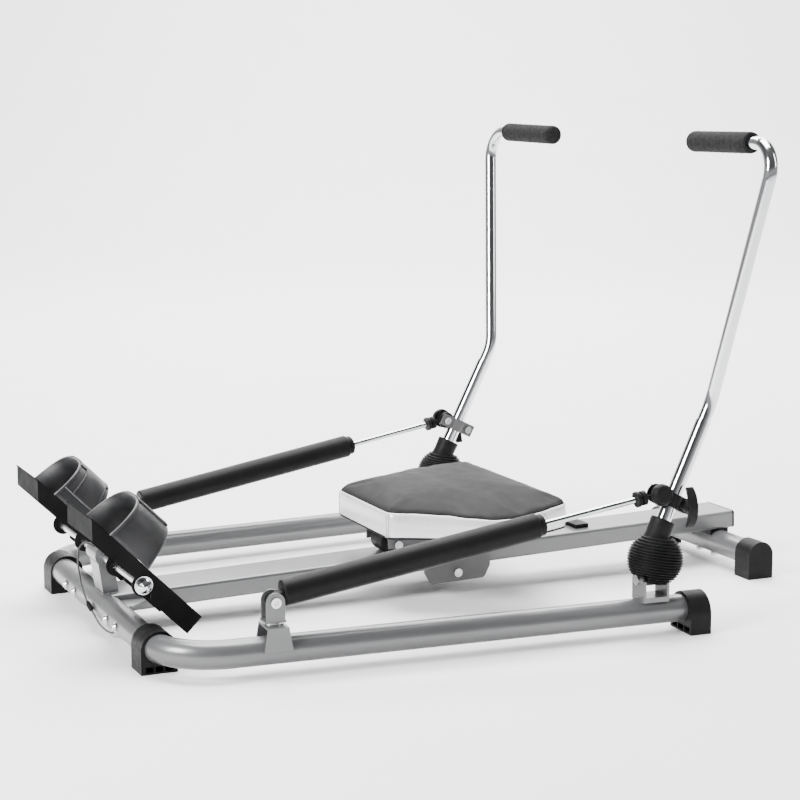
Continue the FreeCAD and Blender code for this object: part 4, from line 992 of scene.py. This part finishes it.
def add_seat_band():
    """The silver side band, which bulges a little between its foot and the seam."""
    levels = 10
    rings = []
    for i in range(levels + 1):
        s = i / levels
        rings.append(band_ring(BAND_INSET - BAND_BULGE * math.sin(math.pi * s), s, BAND_LAP))
    for i in range(levels, -1, -1):
        s = i / levels
        rings.append(band_ring(BAND_INNER_INSET - BAND_BULGE * math.sin(math.pi * s) * 0.9, s, 0.001))
    verts = [v for ring in rings for v in ring]
    faces = ring_faces(len(rings), len(rings[0]), closed=True)
    band = add_piece("seat_side_band", verts, faces, "silver_vinyl", "seat")
    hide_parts("seat_band")


def add_piping():
    """Round piping along the top seam, the bead under the band, and the seams sewn at its front corners."""
    line = [lift_to(p, seam_level(p.x) + 0.0002) for p in seat_ring(BAND_INSET)]
    verts, faces = tube(line, 0.0019, 10, closed=True)
    add_piece("seat_piping", verts, faces, "silver_vinyl", "seat")
    foot = [lift_to(p, BAND_FOOT - 0.0015) for p in seat_ring(0.0016)]
    verts, faces = tube(foot, 0.0017, 8, closed=True)
    add_piece("seat_foot_bead", verts, faces, "black_plastic", "seat")
    for side_name, side in SIDES:
        near = [p for p in seat_ring(-0.0012) if p.y * side > 0.098 and p.x < -0.060]
        near.sort(key=lambda p: (p - Vector((-0.098, 0.107 * side, 0))).length)
        for number, p in enumerate(near[:2]):
            rise = (seam_level(p.x) - BAND_FOOT) / 8
            seam = [lift_to(p, BAND_FOOT + rise * i) for i in range(9)]
            verts, faces = tube(seam, 0.0011, 8)
            add_piece("seat_corner_seam_%s_%d" % (side_name, number), verts, faces, "silver_vinyl", "seat")


# ---------------------------------------------------------------- weld beads

CROSSBAR_X = -0.565
CROSSBAR_Z = 0.0394
CROSSBAR_RADIUS = 0.0225
BEAD_RADIUS = 0.0016
BEAD_RIPPLE = 0.12


def bead(name, points):
    """A weld bead on the frame: a rope of small overlapping ripples along a line."""
    verts, faces = tube(smooth_line(points, 10), BEAD_RADIUS, 10, ripple=BEAD_RIPPLE)
    add_piece(name, verts, faces, "silver_paint", "base")


def crossbar_skin(x, y):
    """A point on top of the crossbar's tube, for welds."""
    offset = x - CROSSBAR_X
    return Vector((x, y, CROSSBAR_Z + math.sqrt(max(CROSSBAR_RADIUS ** 2 - offset ** 2, 0.0))))


def add_welds():
    """Beads round the front and sides of the post, where it stands on the crossbar."""
    for side_name, side in SIDES:
        front = [crossbar_skin(-0.5715, side * y) for y in (0.0, 0.012, 0.0255)]
        bead("weld_post_front_" + side_name, front)
        flank = [crossbar_skin(x, side * 0.0258) for x in (-0.5710, -0.566, -0.560, -0.552)]
        bead("weld_post_side_" + side_name, flank)


# ---------------------------------------------------------------- build

add_camera()
add_world()
for light in LIGHTS:
    add_area_light(*light)
add_floor()
dress_cad_nodes()
add_lead()
for side_name, side in SIDES:
    add_boot(side_name, side)
    add_grip(side_name, side)
    add_strap(side_name, side)
    soften(["t_knob_" + side_name], 0.0030, 4)
    soften(["clamp_plates_" + side_name, "cylinder_clevis_" + side_name, "foot_plate_" + side_name], 0.0007)
soften(["front_feet", "rear_feet", "stabilizer_caps"], 0.0018, 3)
soften(["cylinder_brackets", "arm_brackets", "seat_stops", "stabilizer_saddle", "beam_end_cap",
        "seat_carriage"], 0.0008)
add_seat_pad()
add_seat_band()
add_piping()
add_welds()
